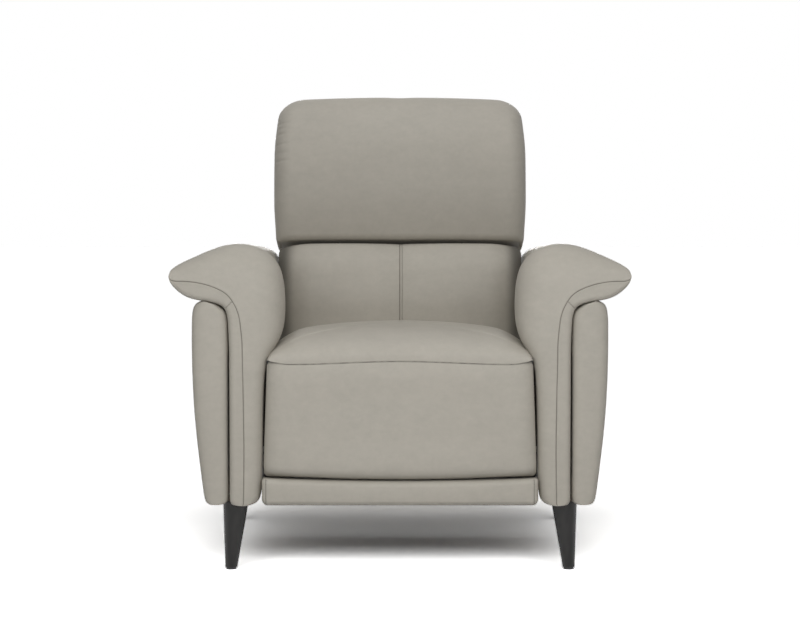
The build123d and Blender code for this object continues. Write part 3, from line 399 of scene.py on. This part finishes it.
def put_points(piece, points):
    """Write a piece's points back in metres."""
    points = points.copy()
    points[:, 1] -= SHIFT
    piece.data.vertices.foreach_set("co", (points * MM).reshape(-1))
    piece.data.update()


def evened(piece, move, rounds):
    """Return the points' moves averaged with their neighbours' along the edges, several times."""
    ends = np.empty(len(piece.data.edges) * 2, np.int64)
    piece.data.edges.foreach_get("vertices", ends)
    a, b = ends.reshape(-1, 2).T
    count = np.bincount(ends, minlength=len(move))[:, None]
    for _ in range(rounds):
        total = np.zeros_like(move)
        np.add.at(total, a, move[b])
        np.add.at(total, b, move[a])
        move = 0.5 * move + 0.5 * total / np.maximum(count, 1)
    return move


def plump(piece, freedom, cap):
    """Fill a pad: leather under inner pressure, held at its seams and moved no further than the cap.

    The freedom is a number from 0 to 1 for each point, 0 where the leather is held. After the run
    each move is cut down to the cap along its own direction, evened with its neighbours' and
    multiplied by the freedom.
    """
    start = points_of(piece)
    free = freedom(start)
    group = piece.vertex_groups.new(name="held")
    group.add(np.flatnonzero(free < 0.02).tolist(), 1.0, "REPLACE")
    cloth = piece.modifiers.new("fill", "CLOTH")
    cloth.settings.vertex_group_mass = "held"
    cloth.settings.quality = 5
    cloth.settings.mass = 0.35
    cloth.settings.tension_stiffness = 22.0
    cloth.settings.compression_stiffness = 22.0
    cloth.settings.shear_stiffness = 8.0
    cloth.settings.bending_stiffness = 1.2
    cloth.settings.use_pressure = True
    cloth.settings.uniform_pressure_force = FILL_PRESSURE
    cloth.settings.effector_weights.gravity = 0.0
    cloth.collision_settings.use_collision = False
    cloth.point_cache.frame_start, cloth.point_cache.frame_end = 1, FILL_FRAMES
    for moment in range(1, FILL_FRAMES + 1):
        bpy.context.scene.frame_set(moment)
    shaped = piece.evaluated_get(bpy.context.evaluated_depsgraph_get()).data
    flat = np.empty(len(shaped.vertices) * 3)
    shaped.vertices.foreach_get("co", flat)
    moved = flat.reshape(-1, 3) / MM
    moved[:, 1] += SHIFT
    piece.modifiers.remove(cloth)
    piece.vertex_groups.remove(group)
    bpy.context.scene.frame_set(1)
    move = moved - start
    length = np.linalg.norm(move, axis=1, keepdims=True)
    move = evened(piece, move * np.minimum(1.0, cap / np.maximum(length, 1e-6)), EVEN_ROUNDS)
    print("filled", piece.name, "by", length.max(), "mm at most and", length.mean(), "mm on average")
    put_points(piece, start + move * free[:, None])


def refine(piece):
    """Add one subdivision."""
    finer = piece.modifiers.new("finer", "SUBSURF")
    finer.levels = finer.render_levels = 1


# Arms

ARM_OUTER = [
    (332, 143.5), (350, 144.3), (357, 148), (360, 160), (360, 205), (360, 260), (360, 330), (360, 392),
    (360, 432), (360, 462), (360.5, 490), (361.5, 516), (363, 538), (366, 552), (369.5, 559.5),
    (374, 564.5), (380, 568), (388, 571), (399, 573.8), (414, 576.5), (431, 579), (447, 584),
    (461, 592), (473, 602.5), (482, 615), (486, 628),
]
ARM_INNER = [
    (332, 143.5), (314, 144.5), (302, 150), (296, 164), (292.5, 205), (291, 260), (290, 330), (288, 392),
    (284.5, 430), (273, 462), (257, 492), (248, 519), (244.5, 548), (244.5, 582), (248, 617),
    (259, 652), (282, 678), (310, 692.5), (340, 697), (372, 693.5), (405, 682.5), (434, 669.5),
    (456, 659), (471, 650.5), (482, 641), (486, 628),
]
ARM_INNER_REAR = [
    (332, 143.5), (314, 144.5), (302, 150), (297, 164), (297, 205), (297, 260), (297, 330), (297, 392),
    (297, 430), (297, 462), (297, 492), (297, 519), (297, 548), (297, 588), (297, 618),
    (298.5, 639), (305, 654), (320, 666), (344, 673.5), (372, 672.5), (405, 664.5), (434, 655),
    (456, 646.5), (471, 640), (482, 635.5), (486, 628),
]
WELT_SHARE = [
    0.5, 0.5, 0.485, 0.468, 0.455, 0.452, 0.437, 0.415, 0.383, 0.328, 0.275, 0.239, 0.216,
    0.193, 0.175, 0.172, 0.186, 0.208, 0.237, 0.282, 0.343, 0.388, 0.388, 0.330, 0.250, 0.200,
]
ARM_FRONT, ARM_REAR, COLUMN_REAR, ARM_SOLE = 4.0, 798.0, 70.0, 395.5
MITRE_FROM, MITRE_TO = (352.0, 576.0), (366.5, 562.0)
PULL_MIDDLE, PULL_TURN = (314.0, 538.0), (0.62, 0.78)
PULLS = [(-21.0, 3.5, 0.7), (-11.0, 3.0, 1.0), (-2.0, 3.5, 0.8), (9.0, 3.0, 0.9), (19.0, 4.0, 0.6)]


def arm_piece(name, side):
    """Make the winged arm pad.

    The section is spanned between an outer and an inner line, matched station by station from the
    foot of the column up to the tip of the wing. Around each station runs a long loop: forward along
    the outer line, across the soft front, back along the inner line and across the rear. The front
    is a small quarter circle at the outer edge, a flat band to the welt, and from there a long
    quarter superellipse to the inner side. Towards the rear the inner line turns from the swelling
    front shape to a flatter, lower one.
    """
    control = np.linspace(0, len(ARM_OUTER) - 1, 150)
    outer = through(ARM_OUTER, control)[:, None]
    inner = through(ARM_INNER, control)[:, None]
    inner_rear = through(ARM_INNER_REAR, control)[:, None]
    level = (outer[..., 1] + inner[..., 1]) / 2
    control = control[:, None]
    rear = np.where((level < ARM_SOLE) & (control < 9), COLUMN_REAR, ARM_REAR)
    width = np.maximum(np.linalg.norm(inner - outer, axis=-1), 1e-3)
    bulk = smooth(control, 8, 12) * (1 - 0.55 * smooth(control, 18, 23))
    roll = np.minimum(34 + 36 * bulk, width * 0.62)
    welt = width * through(np.array(WELT_SHARE)[:, None], control[:, 0])
    edge = np.minimum(13.0, welt * 0.7)
    near = np.minimum(9.0, welt * 0.8)
    before = (welt - near) * np.linspace(0, 1, 16)[None, :-1] ** 1.4
    fine = np.linspace(-1, 1, 31)[None]
    beside = welt + near * np.sign(fine) * np.abs(fine) ** 1.6
    after = width - (width - welt - near) * np.linspace(1, 0, 27)[None, 1:] ** 1.9
    across = np.concatenate([before, beside, after], 1)
    first = np.clip((edge - across) / edge, 0, 1)
    second = np.clip((across - welt) / (width - welt), 0, 1)
    back = edge * (1 - np.sqrt(1 - first ** 2)) + roll * (1 - (1 - second ** 2.3) ** (1 / 2.3))
    gap = across - welt
    strong = smooth(width, 3, 30)
    pinch = strong * (1.3 * ridge(gap, 0, 0.9) - 0.5 * ridge(gap, -3, 3) - 0.7 * ridge(gap, 3.5, 4))
    front_y = ARM_FRONT + back + pinch
    share = across / width
    tail = np.minimum(24.0, width * 0.45) * (1 - (1 - np.abs(2 * share - 1) ** 2.6) ** (1 / 2.6))
    tail = (rear - tail)[:, ::-1]
    rest = np.linspace(0, 1, 64)[None, 1:-1]
    inner_y = front_y[:, -1:] + (tail[:, :1] - front_y[:, -1:]) * rest
    outer_y = tail[:, -1:] + (front_y[:, :1] - tail[:, -1:]) * rest
    one = np.ones((len(control), rest.shape[1]))
    y = np.concatenate([front_y, inner_y, tail, outer_y], 1)
    share = np.concatenate([share, one, share[:, ::-1], 0 * one], 1)[..., None]
    turn = smooth(y, 50, 500)
    drop = np.clip((y - 30) / 770, 0, 1)
    reach = inner + (inner_rear - inner) * np.stack([turn, drop], -1)
    place = outer + (reach - outer) * share
    seam = np.concatenate([strong * ridge(gap, 0, 0.8), 0 * one, 0 * tail, 0 * one], 1)
    x, z = place[..., 0], place[..., 1]
    along = np.subtract(MITRE_TO, MITRE_FROM)
    length = np.hypot(*along)
    part = ((x - MITRE_FROM[0]) * along[0] + (z - MITRE_FROM[1]) * along[1]) / length
    off = ((x - MITRE_FROM[0]) * along[1] - (z - MITRE_FROM[1]) * along[0]) / length
    within = smooth(part, -1, 1) * (1 - smooth(part, length - 1, length + 1))
    mitre = ridge(off, 0, 1.0) * within * (y < 30)
    line = (x - PULL_MIDDLE[0]) * PULL_TURN[0] + (z - PULL_MIDDLE[1]) * PULL_TURN[1]
    pull = np.zeros_like(x)
    for shift, wide, deep in PULLS:
        pull += deep * ridge(line, shift, wide)
    around = np.hypot((x - PULL_MIDDLE[0]) / 26, (z - PULL_MIDDLE[1]) / 34)
    pull *= (1 - smooth(around, 0.35, 1.0)) * (y < 60)
    place = np.stack([side * x, y + 0.8 * mitre + pull, z], -1)
    return grid_piece(name, place, seam=np.maximum(seam, 0.8 * mitre))


COVER_OUTER = [
    (388, 145), (403, 145.5), (410.5, 149), (414.5, 158), (418.5, 182), (425, 235), (431, 290), (436, 350),
    (439, 415), (440, 470), (440, 510), (439.5, 538), (437.8, 554), (434.5, 565), (428.5, 572), (420, 575),
    (411, 575.5),
]
COVER_INNER = [
    (388, 145), (375, 145.5), (367, 149), (364, 158), (363.3, 182), (363, 235), (363, 290), (363, 350),
    (363, 415), (363, 470), (363.3, 508), (364, 533), (366, 547), (370.5, 556), (378, 562.5), (390, 569.5),
    (411, 575.5),
]


def cover_piece(name, side):
    """Make the outer arm panel: a tall soft shell, rounded all round, swelling in its middle."""
    control = np.linspace(0, len(COVER_OUTER) - 1, 110)
    outer = through(COVER_OUTER, control)
    inner = through(COVER_INNER, control)
    thick = np.linalg.norm(outer - inner, axis=1)[:, None]
    ramp = np.linspace(0, 1, 24)
    across = np.unique(np.concatenate([ramp ** 1.8 * 0.5, 1 - 0.5 * ramp ** 1.8]))[None]
    swell = np.minimum(26.0, thick * 0.6)
    back = swell * (1 - (1 - np.abs(2 * across - 1) ** 2.9) ** (1 / 2.9))
    front_y = ARM_FRONT + 4.0 + back
    rear_y = ARM_REAR - 2.0 - back
    rest = np.linspace(0, 1, 60)[None, 1:-1]
    inner_y = front_y[:, -1:] + (rear_y[:, -1:] - front_y[:, -1:]) * rest
    y = np.concatenate([front_y, inner_y, rear_y[:, ::-1], inner_y[:, ::-1]], 1)
    count = len(control)
    one = np.ones((count, rest.shape[1]))
    wide = np.repeat(across, count, 0)
    share = np.concatenate([wide, one, wide[:, ::-1], 0 * one], 1)
    x = outer[:, :1] + (inner[:, :1] - outer[:, :1]) * share
    z = outer[:, 1:] + (inner[:, 1:] - outer[:, 1:]) * share
    return grid_piece(name, np.stack([side * x, y, z], -1))


for hand, side in (("left", 1.0), ("right", -1.0)):
    settle(arm_piece("arm_leather_" + hand, side), "frame", "arm_pad_" + hand)
    settle(cover_piece("arm_side_" + hand, side), "frame", "arm_cover_" + hand)


# Seat, legrest and foot bar

SEAT_LOW, SEAT_HALF, SEAT_FRONT, SEAT_REAR = 395.5, 280.0, 1.5, 580.0
SEAM_LEVEL, SEAM_WAVE, SEAM_DIP, SEAM_END = 446.2, 3.2, 235.0, 281.0


def seam_height(x):
    """Return the height of the seam between seat and legrest: a slow wave that dips near its ends."""
    x = np.minimum(np.abs(x), SEAM_END)
    phase = np.where(x < SEAM_DIP, x / SEAM_DIP, 1 + (x - SEAM_DIP) / (SEAM_END - SEAM_DIP))
    return SEAM_LEVEL + SEAM_WAVE * np.cos(math.pi * phase)


def seat_freedom(points):
    """Hold the seat at its seam, its underside and its rear."""
    x, y, z = np.moveaxis(points, -1, 0)
    return smooth(z - seam_height(x), 10, 58) * (1 - smooth(y, 430, 550))


def seat_piece():
    """Make the seat: nested rings seen from above, crowned, with a rolled front and soft shoulders.

    The height above the seam is a crown times three quarter superellipses, which fall to nothing at
    the front and the sides and partly at the rear. At the seam the leather turns in under a small lip.
    """
    x, y, inset, _, front = nested_rings(
        SEAT_HALF, SEAT_FRONT, SEAT_REAR, 8, 34, insets_to((SEAT_REAR - SEAT_FRONT) / 2, 44, 3.6), EVEN)
    side = np.abs(x) / SEAT_HALF
    crown = 511 - 12 * smooth(y, 300, 570) - 5 * side ** 2 - 44 * smooth(y, 150, 560) * side ** 2.4
    seam = seam_height(x) + 0.15
    left = 1 - edge_fall(y - SEAT_FRONT, 190, 1.0, 3.0)
    left = left * (1 - edge_fall(SEAT_HALF - np.abs(x), 78, 1.0))
    left = left * (1 - edge_fall(SEAT_REAR - y, 34, 0.45))
    z = seam + (crown - seam) * left
    lip = 1.0 * front * (1 - smooth(z - seam, 0, 2.5))
    upper = np.stack([x, y + lip, z], -1)
    stitched = 0.5 * front * ridge(z - seam, 0, 0.8)
    x, y, inset, front = (v[::-1][::4] if len(v) > 1 else v for v in (x, y, inset, front))
    seam = seam_height(x) + 0.15
    floor = seam + (460 - seam) * smooth(y, 12, 20)
    floor = floor + (SEAT_LOW - floor) * smooth(y, 101, 112)
    lower = np.stack([x, y + 1.0 * front * (inset < 1), floor], -1)
    rings = closed_pad(upper, lower)
    mask = np.zeros(rings.shape[:2])
    mask[:len(upper)] = stitched
    # Lining: black cloth under and behind the seat, also painted shade in the gap beneath it.
    lining = np.zeros(rings.shape[:2])
    lining[len(upper) + 2:] = 1.0
    piece = grid_piece("seat_leather", rings, seam=mask, lining=lining)
    plump(piece, seat_freedom, 6.0)
    refine(piece)
    return piece


settle(seat_piece(), "frame", "seat_cushion")

LEGREST_HALF, LEGREST_FOOT, LEGREST_TOP = 281.0, 199.0, 446.0


def legrest_freedom(points):
    """Hold the legrest all round its rim and at its rear."""
    x, y, z = np.moveaxis(points, -1, 0)
    up = smooth(seam_height(x) - z, 8, 90) * smooth(z - LEGREST_FOOT, 18, 90)
    return up * smooth(LEGREST_HALF - np.abs(x), 16, 100) * (y < 12)


def legrest_piece():
    """Make the legrest pad: crowned to the front, wider at its foot, its foot edge bowed down.

    The rear outline has square corners and a straight foot, so that no daylight shows above the
    foot bar.
    """
    reach = (LEGREST_TOP - LEGREST_FOOT) / 2
    x, z, _, top, _ = nested_rings(
        LEGREST_HALF, LEGREST_FOOT, LEGREST_TOP, 20, 3, insets_to(reach, 32, 3.0), EVEN)
    up = (z - LEGREST_FOOT) / (2 * reach)
    side = np.abs(x) / LEGREST_HALF
    crown = (1 - side ** 4) * (1 - (2 * up - 1) ** 4)
    fall = edge_fall(LEGREST_HALF - np.abs(x), 38, 22) + edge_fall(z - LEGREST_FOOT, 22, 17)
    foot_line = LEGREST_FOOT - 0.5 + 10 * side ** 2
    seam = seam_height(x) - 0.15
    high = foot_line + (seam - foot_line) * up
    lip = 0.6 * top * (1 - smooth(seam - high, 0, 2.5))
    front = np.stack([x * (1 + 0.030 * (1 - up)), 3.5 - 6 * crown + fall + lip, high], -1)
    x, z, *_ = nested_rings(
        LEGREST_HALF, LEGREST_FOOT + 1, LEGREST_TOP, 3, 3, insets_to(reach, 8, 2.0)[::-1], EVEN)
    up = (z - LEGREST_FOOT) / (2 * reach)
    high = z + (seam_height(x) - 0.15 - LEGREST_TOP) * smooth(up, 0.9, 1.0)
    deep = 16.5 + 23.5 * (1 - smooth(z, 428, 436))
    rear = np.stack([x * (1 + 0.030 * (1 - up)), deep, high], -1)
    rings = closed_pad(front, rear)
    # Lining: black cloth on the rear, also painted shade behind the legrest's corners.
    lining = np.zeros(rings.shape[:2])
    lining[len(front) + 2:] = 1.0
    piece = grid_piece("legrest_leather", rings, lining=lining)
    plump(piece, legrest_freedom, 5.0)
    refine(piece)
    return piece


legrest = legrest_piece()
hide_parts("legrest_pad")
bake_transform(legrest)

BAR_HALF, BAR_FOOT, BAR_TOP, BAR_SEAM = 292.5, 143.5, 199.0, 283.5


def foot_piece():
    """Make the foot bar: a long soft bar, its top edge bowed down, with a sewn cap at each end."""
    reach = (BAR_TOP - BAR_FOOT) / 2
    ends = np.array([0.93, 0.945, 0.955, 0.962, 0.967, 0.971, 0.975, 0.980, 0.987])
    spread = np.unique(np.concatenate([EVEN[3:-3], ends, -ends, [-1, 1]]))
    x, z, inset, *_ = nested_rings(
        BAR_HALF, BAR_FOOT, BAR_TOP, 13, 7, insets_to(reach, 20, 2.2), spread, side=14)
    up = (z - BAR_FOOT) / (2 * reach)
    side = np.abs(x) / BAR_HALF
    seam = ridge(np.abs(x), BAR_SEAM, 1.1)
    high = z + (7.0 * side ** 2 - 4.5) * up
    crown = 3.5 * (1 - side ** 6) * (1 - (2 * up - 1) ** 2)
    front = np.stack([x, 5.0 - crown + edge_fall(inset, 11, 11) + 1.2 * seam, high], -1)
    x, z, *_ = nested_rings(
        BAR_HALF, BAR_FOOT, BAR_TOP - 0.5, 4, 2, insets_to(reach, 6, 2.0)[::-1], spread, side=14)
    rear = np.stack([x, 72.0 + 0 * x, z], -1)
    rings = closed_pad(front, rear)
    mask = np.zeros(rings.shape[:2])
    mask[:len(front)] = seam
    # Lining: black cloth on the rear, also painted shade behind the foot bar.
    lining = np.zeros(rings.shape[:2])
    lining[len(front) + 5:] = 1.0
    piece = grid_piece("foot_bar_leather", rings, seam=mask, lining=lining)
    refine(piece)
    return piece


settle(foot_piece(), "foot_bar", "foot_pad")


# Back and headrest, in the back's own upright frame

BACK_HALF, BACK_FOOT, BACK_TOP, BACK_FACE, BACK_REAR = 294.5, 30.0, 277.0, -99.0, -28.0


def upright(points):
    """Return points of the chair in the back's own upright frame."""
    x, y, z = np.moveaxis(points, -1, 0)
    c, s = math.cos(BACK_RAKE), math.sin(BACK_RAKE)
    return np.stack([x, (y - BACK_DEPTH) * c - (z - BACK_HEIGHT) * s,
                     (y - BACK_DEPTH) * s + (z - BACK_HEIGHT) * c], -1)


def back_freedom(points):
    """Hold the back cushion's edges, its rear and its sewn middle."""
    x, y, z = np.moveaxis(upright(points), -1, 0)
    x = np.abs(x)
    up = smooth(BACK_TOP - z, 16, 80) * smooth(z - BACK_FOOT, 30, 100)
    return up * smooth(BACK_HALF - x, 40, 110) * smooth(x, 9, 80) * (y < -50)


def rest_freedom(points):
    """Hold the headrest's rim, its foot and its rear."""
    x, y, z = np.moveaxis(upright(points), -1, 0)
    up = smooth(REST_TOP - z, 30, 120) * smooth(z - REST_FOOT, 34, 120)
    return up * smooth(REST_HALF - np.abs(x), 48, 140) * (y < -50)


def back_piece():
    """Make the back cushion: two swelling halves with a sewn channel, and a foot behind the seat.

    The face leans away above its middle and tucks in below it, so the light falls off downwards.
    The mask also darkens the leather along both side edges, deep beside the arms: painted shade for the
    crevice between the back and the arms.
    """
    reach = (BACK_TOP - BACK_FOOT) / 2
    near = np.array([
        0.0025, 0.005, 0.0075, 0.010, 0.0125, 0.015, 0.0175, 0.020, 0.024, 0.030, 0.040, 0.055])
    spread = np.unique(np.concatenate([EVEN[EVEN ** 2 > 0.004], near, -near, [0.0]]))
    x, z, *_ = nested_rings(
        BACK_HALF, BACK_FOOT, BACK_TOP, 24, 17, insets_to(reach, 34, 2.6), spread)
    gap, side, up = np.abs(x), np.abs(x) / BACK_HALF, (z - BACK_FOOT) / (2 * reach)
    swell = 8 * np.sin(np.clip(side, 0, 1) * math.pi) ** 0.8
    sewn = ridge(x, -0.6, 0.95) + 0.85 * ridge(x, 5.0, 0.95)
    channel = 2.2 * np.exp(-gap / 16) + 1.2 * sewn
    lean = 26 * smooth(up, 0.62, 1.05) ** 1.6 + 34 * (1 - smooth(up, 0.0, 0.66)) ** 1.6
    fall = edge_fall(BACK_HALF - gap, 88, 70) + edge_fall(BACK_TOP - z, 13, 13)
    deep = BACK_FACE + channel - swell + 7 + lean + fall
    deep = BACK_REAR - 6 * np.logaddexp(0, (BACK_REAR - deep) / 6)
    high = z + 0.8 * (1 - side ** 2) * smooth(up, 0.8, 1.0)
    front = np.stack([x, deep, high], -1)
    # Seam mask: the sewn channel, plus painted shade along both side edges, deepest beside the arms.
    mask = np.maximum(0.9 * sewn, 1 - smooth(BACK_HALF - gap, 12, 46))
    x, z, *_ = nested_rings(
        BACK_HALF - 6, BACK_FOOT, BACK_TOP - 3, 24, 17, insets_to(reach - 1.5, 7, 2.0)[::-1], spread)
    rear = np.stack([x, -22.0 + 0 * x, z], -1)
    rings = closed_pad(front, rear)
    seam = np.zeros(rings.shape[:2])
    seam[:len(front)] = mask
    # Lining: black cloth on the rear, also painted shade behind the cushion.
    lining = np.zeros(rings.shape[:2])
    lining[len(front) + 1:] = 1.0
    piece = grid_piece("back_leather", leaned(rings), seam=seam, lining=lining)
    plump(piece, back_freedom, 6.0)
    refine(piece)
    return piece


settle(back_piece(), "back", "back_cushion")

REST_HALF, REST_FOOT, REST_TOP, REST_FACE, REST_REAR = 305.0, 287.0, 660.0, -130.0, 104.0
PUCKERS = [
    (470, 3.2, 2.2), (491, 4.0, 1.2), (513, 3.0, 2.0), (541, 3.2, 2.4), (556, 3.0, 1.6), (571, 3.4, 2.2),
]


def headrest_piece():
    """Make the headrest: a full pillow, fullest below its middle, with wide top corners."""
    reach = (REST_TOP - REST_FOOT) / 2
    x, z, *_ = nested_rings(
        REST_HALF, REST_FOOT, REST_TOP, 13, 62, insets_to(reach, 32, 2.1), EVEN[::2], side=96, corner=9)
    up, side = (z - REST_FOOT) / (2 * reach), np.abs(x) / REST_HALF
    lean = 56 * np.clip(0.5 - up, 0, 1) ** 2 / 0.25 + 68 * np.clip(up - 0.5, 0, 1) ** 2 / 0.25
    gap = edge_gap(x, z, REST_HALF, REST_TOP, 62)
    fall = edge_fall(gap, 42, 45) + edge_fall(z - REST_FOOT, 11, 12)
    pucker = np.zeros_like(x)
    for level, wide, drop in PUCKERS:
        pucker += drop * ridge(z, level, wide)
    pucker *= np.where(x < 0, 1.0, 0.45) * (1 - smooth(REST_HALF - np.abs(x), 10, 52))
    span = 1 - 0.028 * smooth(up, 0.55, 1.0) - 0.012 * (1 - smooth(up, 0.0, 0.25))
    high = z - (6 * side ** 2 + 1.6 * ridge(x, 0, 26)) * smooth(up, 0.8, 1.0)
    deep = REST_FACE + 9 * side ** 2.5 + lean + fall + pucker
    front = np.stack([x * span, deep, high], -1)
    fall = edge_fall(gap, 42, 44) + edge_fall(z - REST_FOOT, 20, 18)
    behind = REST_REAR - 52 * smooth(up, 0.45, 1.0) - 6 * (1 - up) - 8 * side ** 2.5 - fall
    rear = np.stack([x * span, behind, high], -1)[::-1]
    piece = grid_piece("headrest_leather", leaned(closed_pad(front, rear, 6)))
    plump(piece, rest_freedom, 6.0)
    refine(piece)
    return piece


settle(headrest_piece(), "headrest", "headrest_pad")

SHELL_HALF, SHELL_FOOT, SHELL_TOP, SHELL_FACE = 279.0, -8.0, 291.0, 20.5
CHANNEL_HALF, CHANNEL_DEPTH = 34.0, 104.0


def shell_piece():
    """Make the outside back: a shallow padded shell, crowned to the rear, with soft edges.

    Its face, turned to the frame, has an upright channel in the middle, open above, in which the
    headrest's rod and horn move. The channel is as deep as the shell less one thickness of padding.
    """
    reach = (SHELL_TOP - SHELL_FOOT) / 2
    x, z, inset, *_ = nested_rings(
        SHELL_HALF, SHELL_FOOT, SHELL_TOP, 24, 24, insets_to(reach, 26, 2.6), EVEN)
    up, side = (z - SHELL_FOOT) / (2 * reach), np.abs(x) / SHELL_HALF
    behind = 136 - 26 * (1 - smooth(up, 0.0, 0.6)) - 10 * smooth(up, 0.6, 1.0) - 6 * side ** 2
    skin = behind - edge_fall(inset, 30, 32)
    rear = np.stack([x, skin, z], -1)
    room = (1 - smooth(np.abs(x), CHANNEL_HALF, CHANNEL_HALF + 6)) * smooth(z, 12, 40)
    face = SHELL_FACE + (np.minimum(CHANNEL_DEPTH, skin - 8) - SHELL_FACE) * room
    face = np.stack([x, face, z], -1)[::-3]
    piece = grid_piece("outside_back_leather", leaned(closed_pad(rear, face)))
    refine(piece)
    return piece


settle(shell_piece(), "back", "back_shell")


# Floor, light and camera

def white_rays(tree):
    """Return 1 for rays that show the background: seen straight, mirrored or through glass."""
    seen = add_node(tree, "ShaderNodeLightPath", out="Is Camera Ray")
    mirrored = add_node(tree, "ShaderNodeLightPath", out="Is Glossy Ray")
    through_glass = add_node(tree, "ShaderNodeLightPath", out="Is Transmission Ray")
    return seen.math("MAXIMUM", mirrored).math("MAXIMUM", through_glass)


def plain_white(name):
    """A floor that is white to the camera and throws back less light on the chair."""
    finish, tree, shader, place = new_finish(name)
    cloud = noise(tree, place, 1.5, 2.0)
    seen = white_rays(tree)
    white = mixed(tree, cloud, (3.52, 3.52, 3.52, 1), (3.58, 3.58, 3.58, 1))
    link(tree, mixed(tree, seen, rgb((0.42, 0.42, 0.42)), white), shader, "Base Color")
    shader.inputs["Roughness"].default_value = 1.0
    shader.inputs["Specular IOR Level"].default_value = 0.0
    return finish


def floor_sheet():
    """Make a wide level floor as a grid."""
    span = np.linspace(-30, 30, 7)
    x, y = np.meshgrid(span, span, indexing="ij")
    points = np.stack([x, y, 0 * x], -1).reshape(-1, 3)
    first = (np.arange(6)[:, None] * 7 + np.arange(6)[None]).reshape(-1)
    quads = np.stack([first, first + 7, first + 8, first + 1], -1)
    mesh = bpy.data.meshes.new("studio_floor")
    mesh.from_pydata(points.tolist(), [], quads.tolist())
    piece = bpy.data.objects.new("studio_floor", mesh)
    bpy.context.scene.collection.objects.link(piece)
    mesh.materials.append(plain_white("studio_white"))


floor_sheet()


def soft_lamp(name, place, aim, size, power, spread=180.0):
    """Add a rectangular soft lamp that faces a point, its light kept within a spread of degrees."""
    data = bpy.data.lights.new(name, "AREA")
    data.shape = "RECTANGLE"
    data.size, data.size_y = size
    data.energy = power
    data.spread = math.radians(spread)
    lamp = bpy.data.objects.new(name, data)
    bpy.context.scene.collection.objects.link(lamp)
    lamp.location = place
    lamp.rotation_euler = Vector(np.subtract(aim, place)).to_track_quat("-Z", "Y").to_euler()


def even_light(name, slope, spread, strength):
    """Add a distant lamp that lights the whole floor alike, tipped forward from overhead."""
    data = bpy.data.lights.new(name, "SUN")
    data.energy = strength
    data.angle = math.radians(spread)
    lamp = bpy.data.objects.new(name, data)
    bpy.context.scene.collection.objects.link(lamp)
    lamp.rotation_euler = (math.radians(slope), 0.0, 0.0)


even_light("high_front", 36.0, 60.0, 0.48)
soft_lamp("low_fill", (0.0, -1.70, 0.95), (0.0, -0.42, 0.35), (2.4, 0.5), 15.6)
soft_lamp("over_head", (0.0, 0.05, 1.95), (0.0, 0.20, 1.0), (1.2, 0.5), 4.0)
soft_lamp("rear_fill", (0.0, 1.90, 1.10), (0.0, 0.40, 0.85), (1.4, 0.4), 1.7, 50.0)

SKY_FRONT, SKY_REAR, SKY_LOW = 0.30, 0.08, 0.22
world = bpy.data.worlds.new("studio")
bpy.context.scene.world = world
world.use_nodes = True
tree = world.node_tree
toward = add_node(tree, "ShaderNodeTexCoord", out="Generated")
depth = add_node(tree, "ShaderNodeSeparateXYZ", None, [toward], out="Y")
height = add_node(tree, "ShaderNodeSeparateXYZ", None, [toward], out="Z")
behind = add_node(tree, "ShaderNodeMapRange", {"interpolation_type": "SMOOTHSTEP"},
                  {"Value": depth, "From Min": -0.6, "From Max": 0.5})
above = add_node(tree, "ShaderNodeMapRange", {"interpolation_type": "SMOOTHSTEP"},
                 {"Value": height, "From Min": 0.0, "From Max": 0.55, "To Min": SKY_LOW})
sky = (behind * (SKY_REAR - SKY_FRONT) + SKY_FRONT) * above
clear = white_rays(tree)
ground = tree.nodes["Background"]
ground.inputs["Color"].default_value = (1, 1, 1, 1)
tree.links.new((clear * (1.0 - sky) + sky).socket, ground.inputs["Strength"])

lens = bpy.data.cameras.new("photo_view")
camera = bpy.data.objects.new("photo_view", lens)
bpy.context.scene.collection.objects.link(camera)
CAMERA_FRONT, CAMERA_HEIGHT, FOCUS, PITCH = 4175.0, 785.0, 1995.0, 0.055
lens.sensor_width = 36.0
lens.lens = FOCUS / 800 * lens.sensor_width
lens.clip_end = 100.0
camera.location = (0.0, (-CAMERA_FRONT - SHIFT) * MM, CAMERA_HEIGHT * MM)
camera.rotation_euler = (math.pi / 2 - PITCH, 0.0, 0.0)
bpy.context.scene.camera = camera

bpy.context.scene.view_settings.view_transform = "Standard"
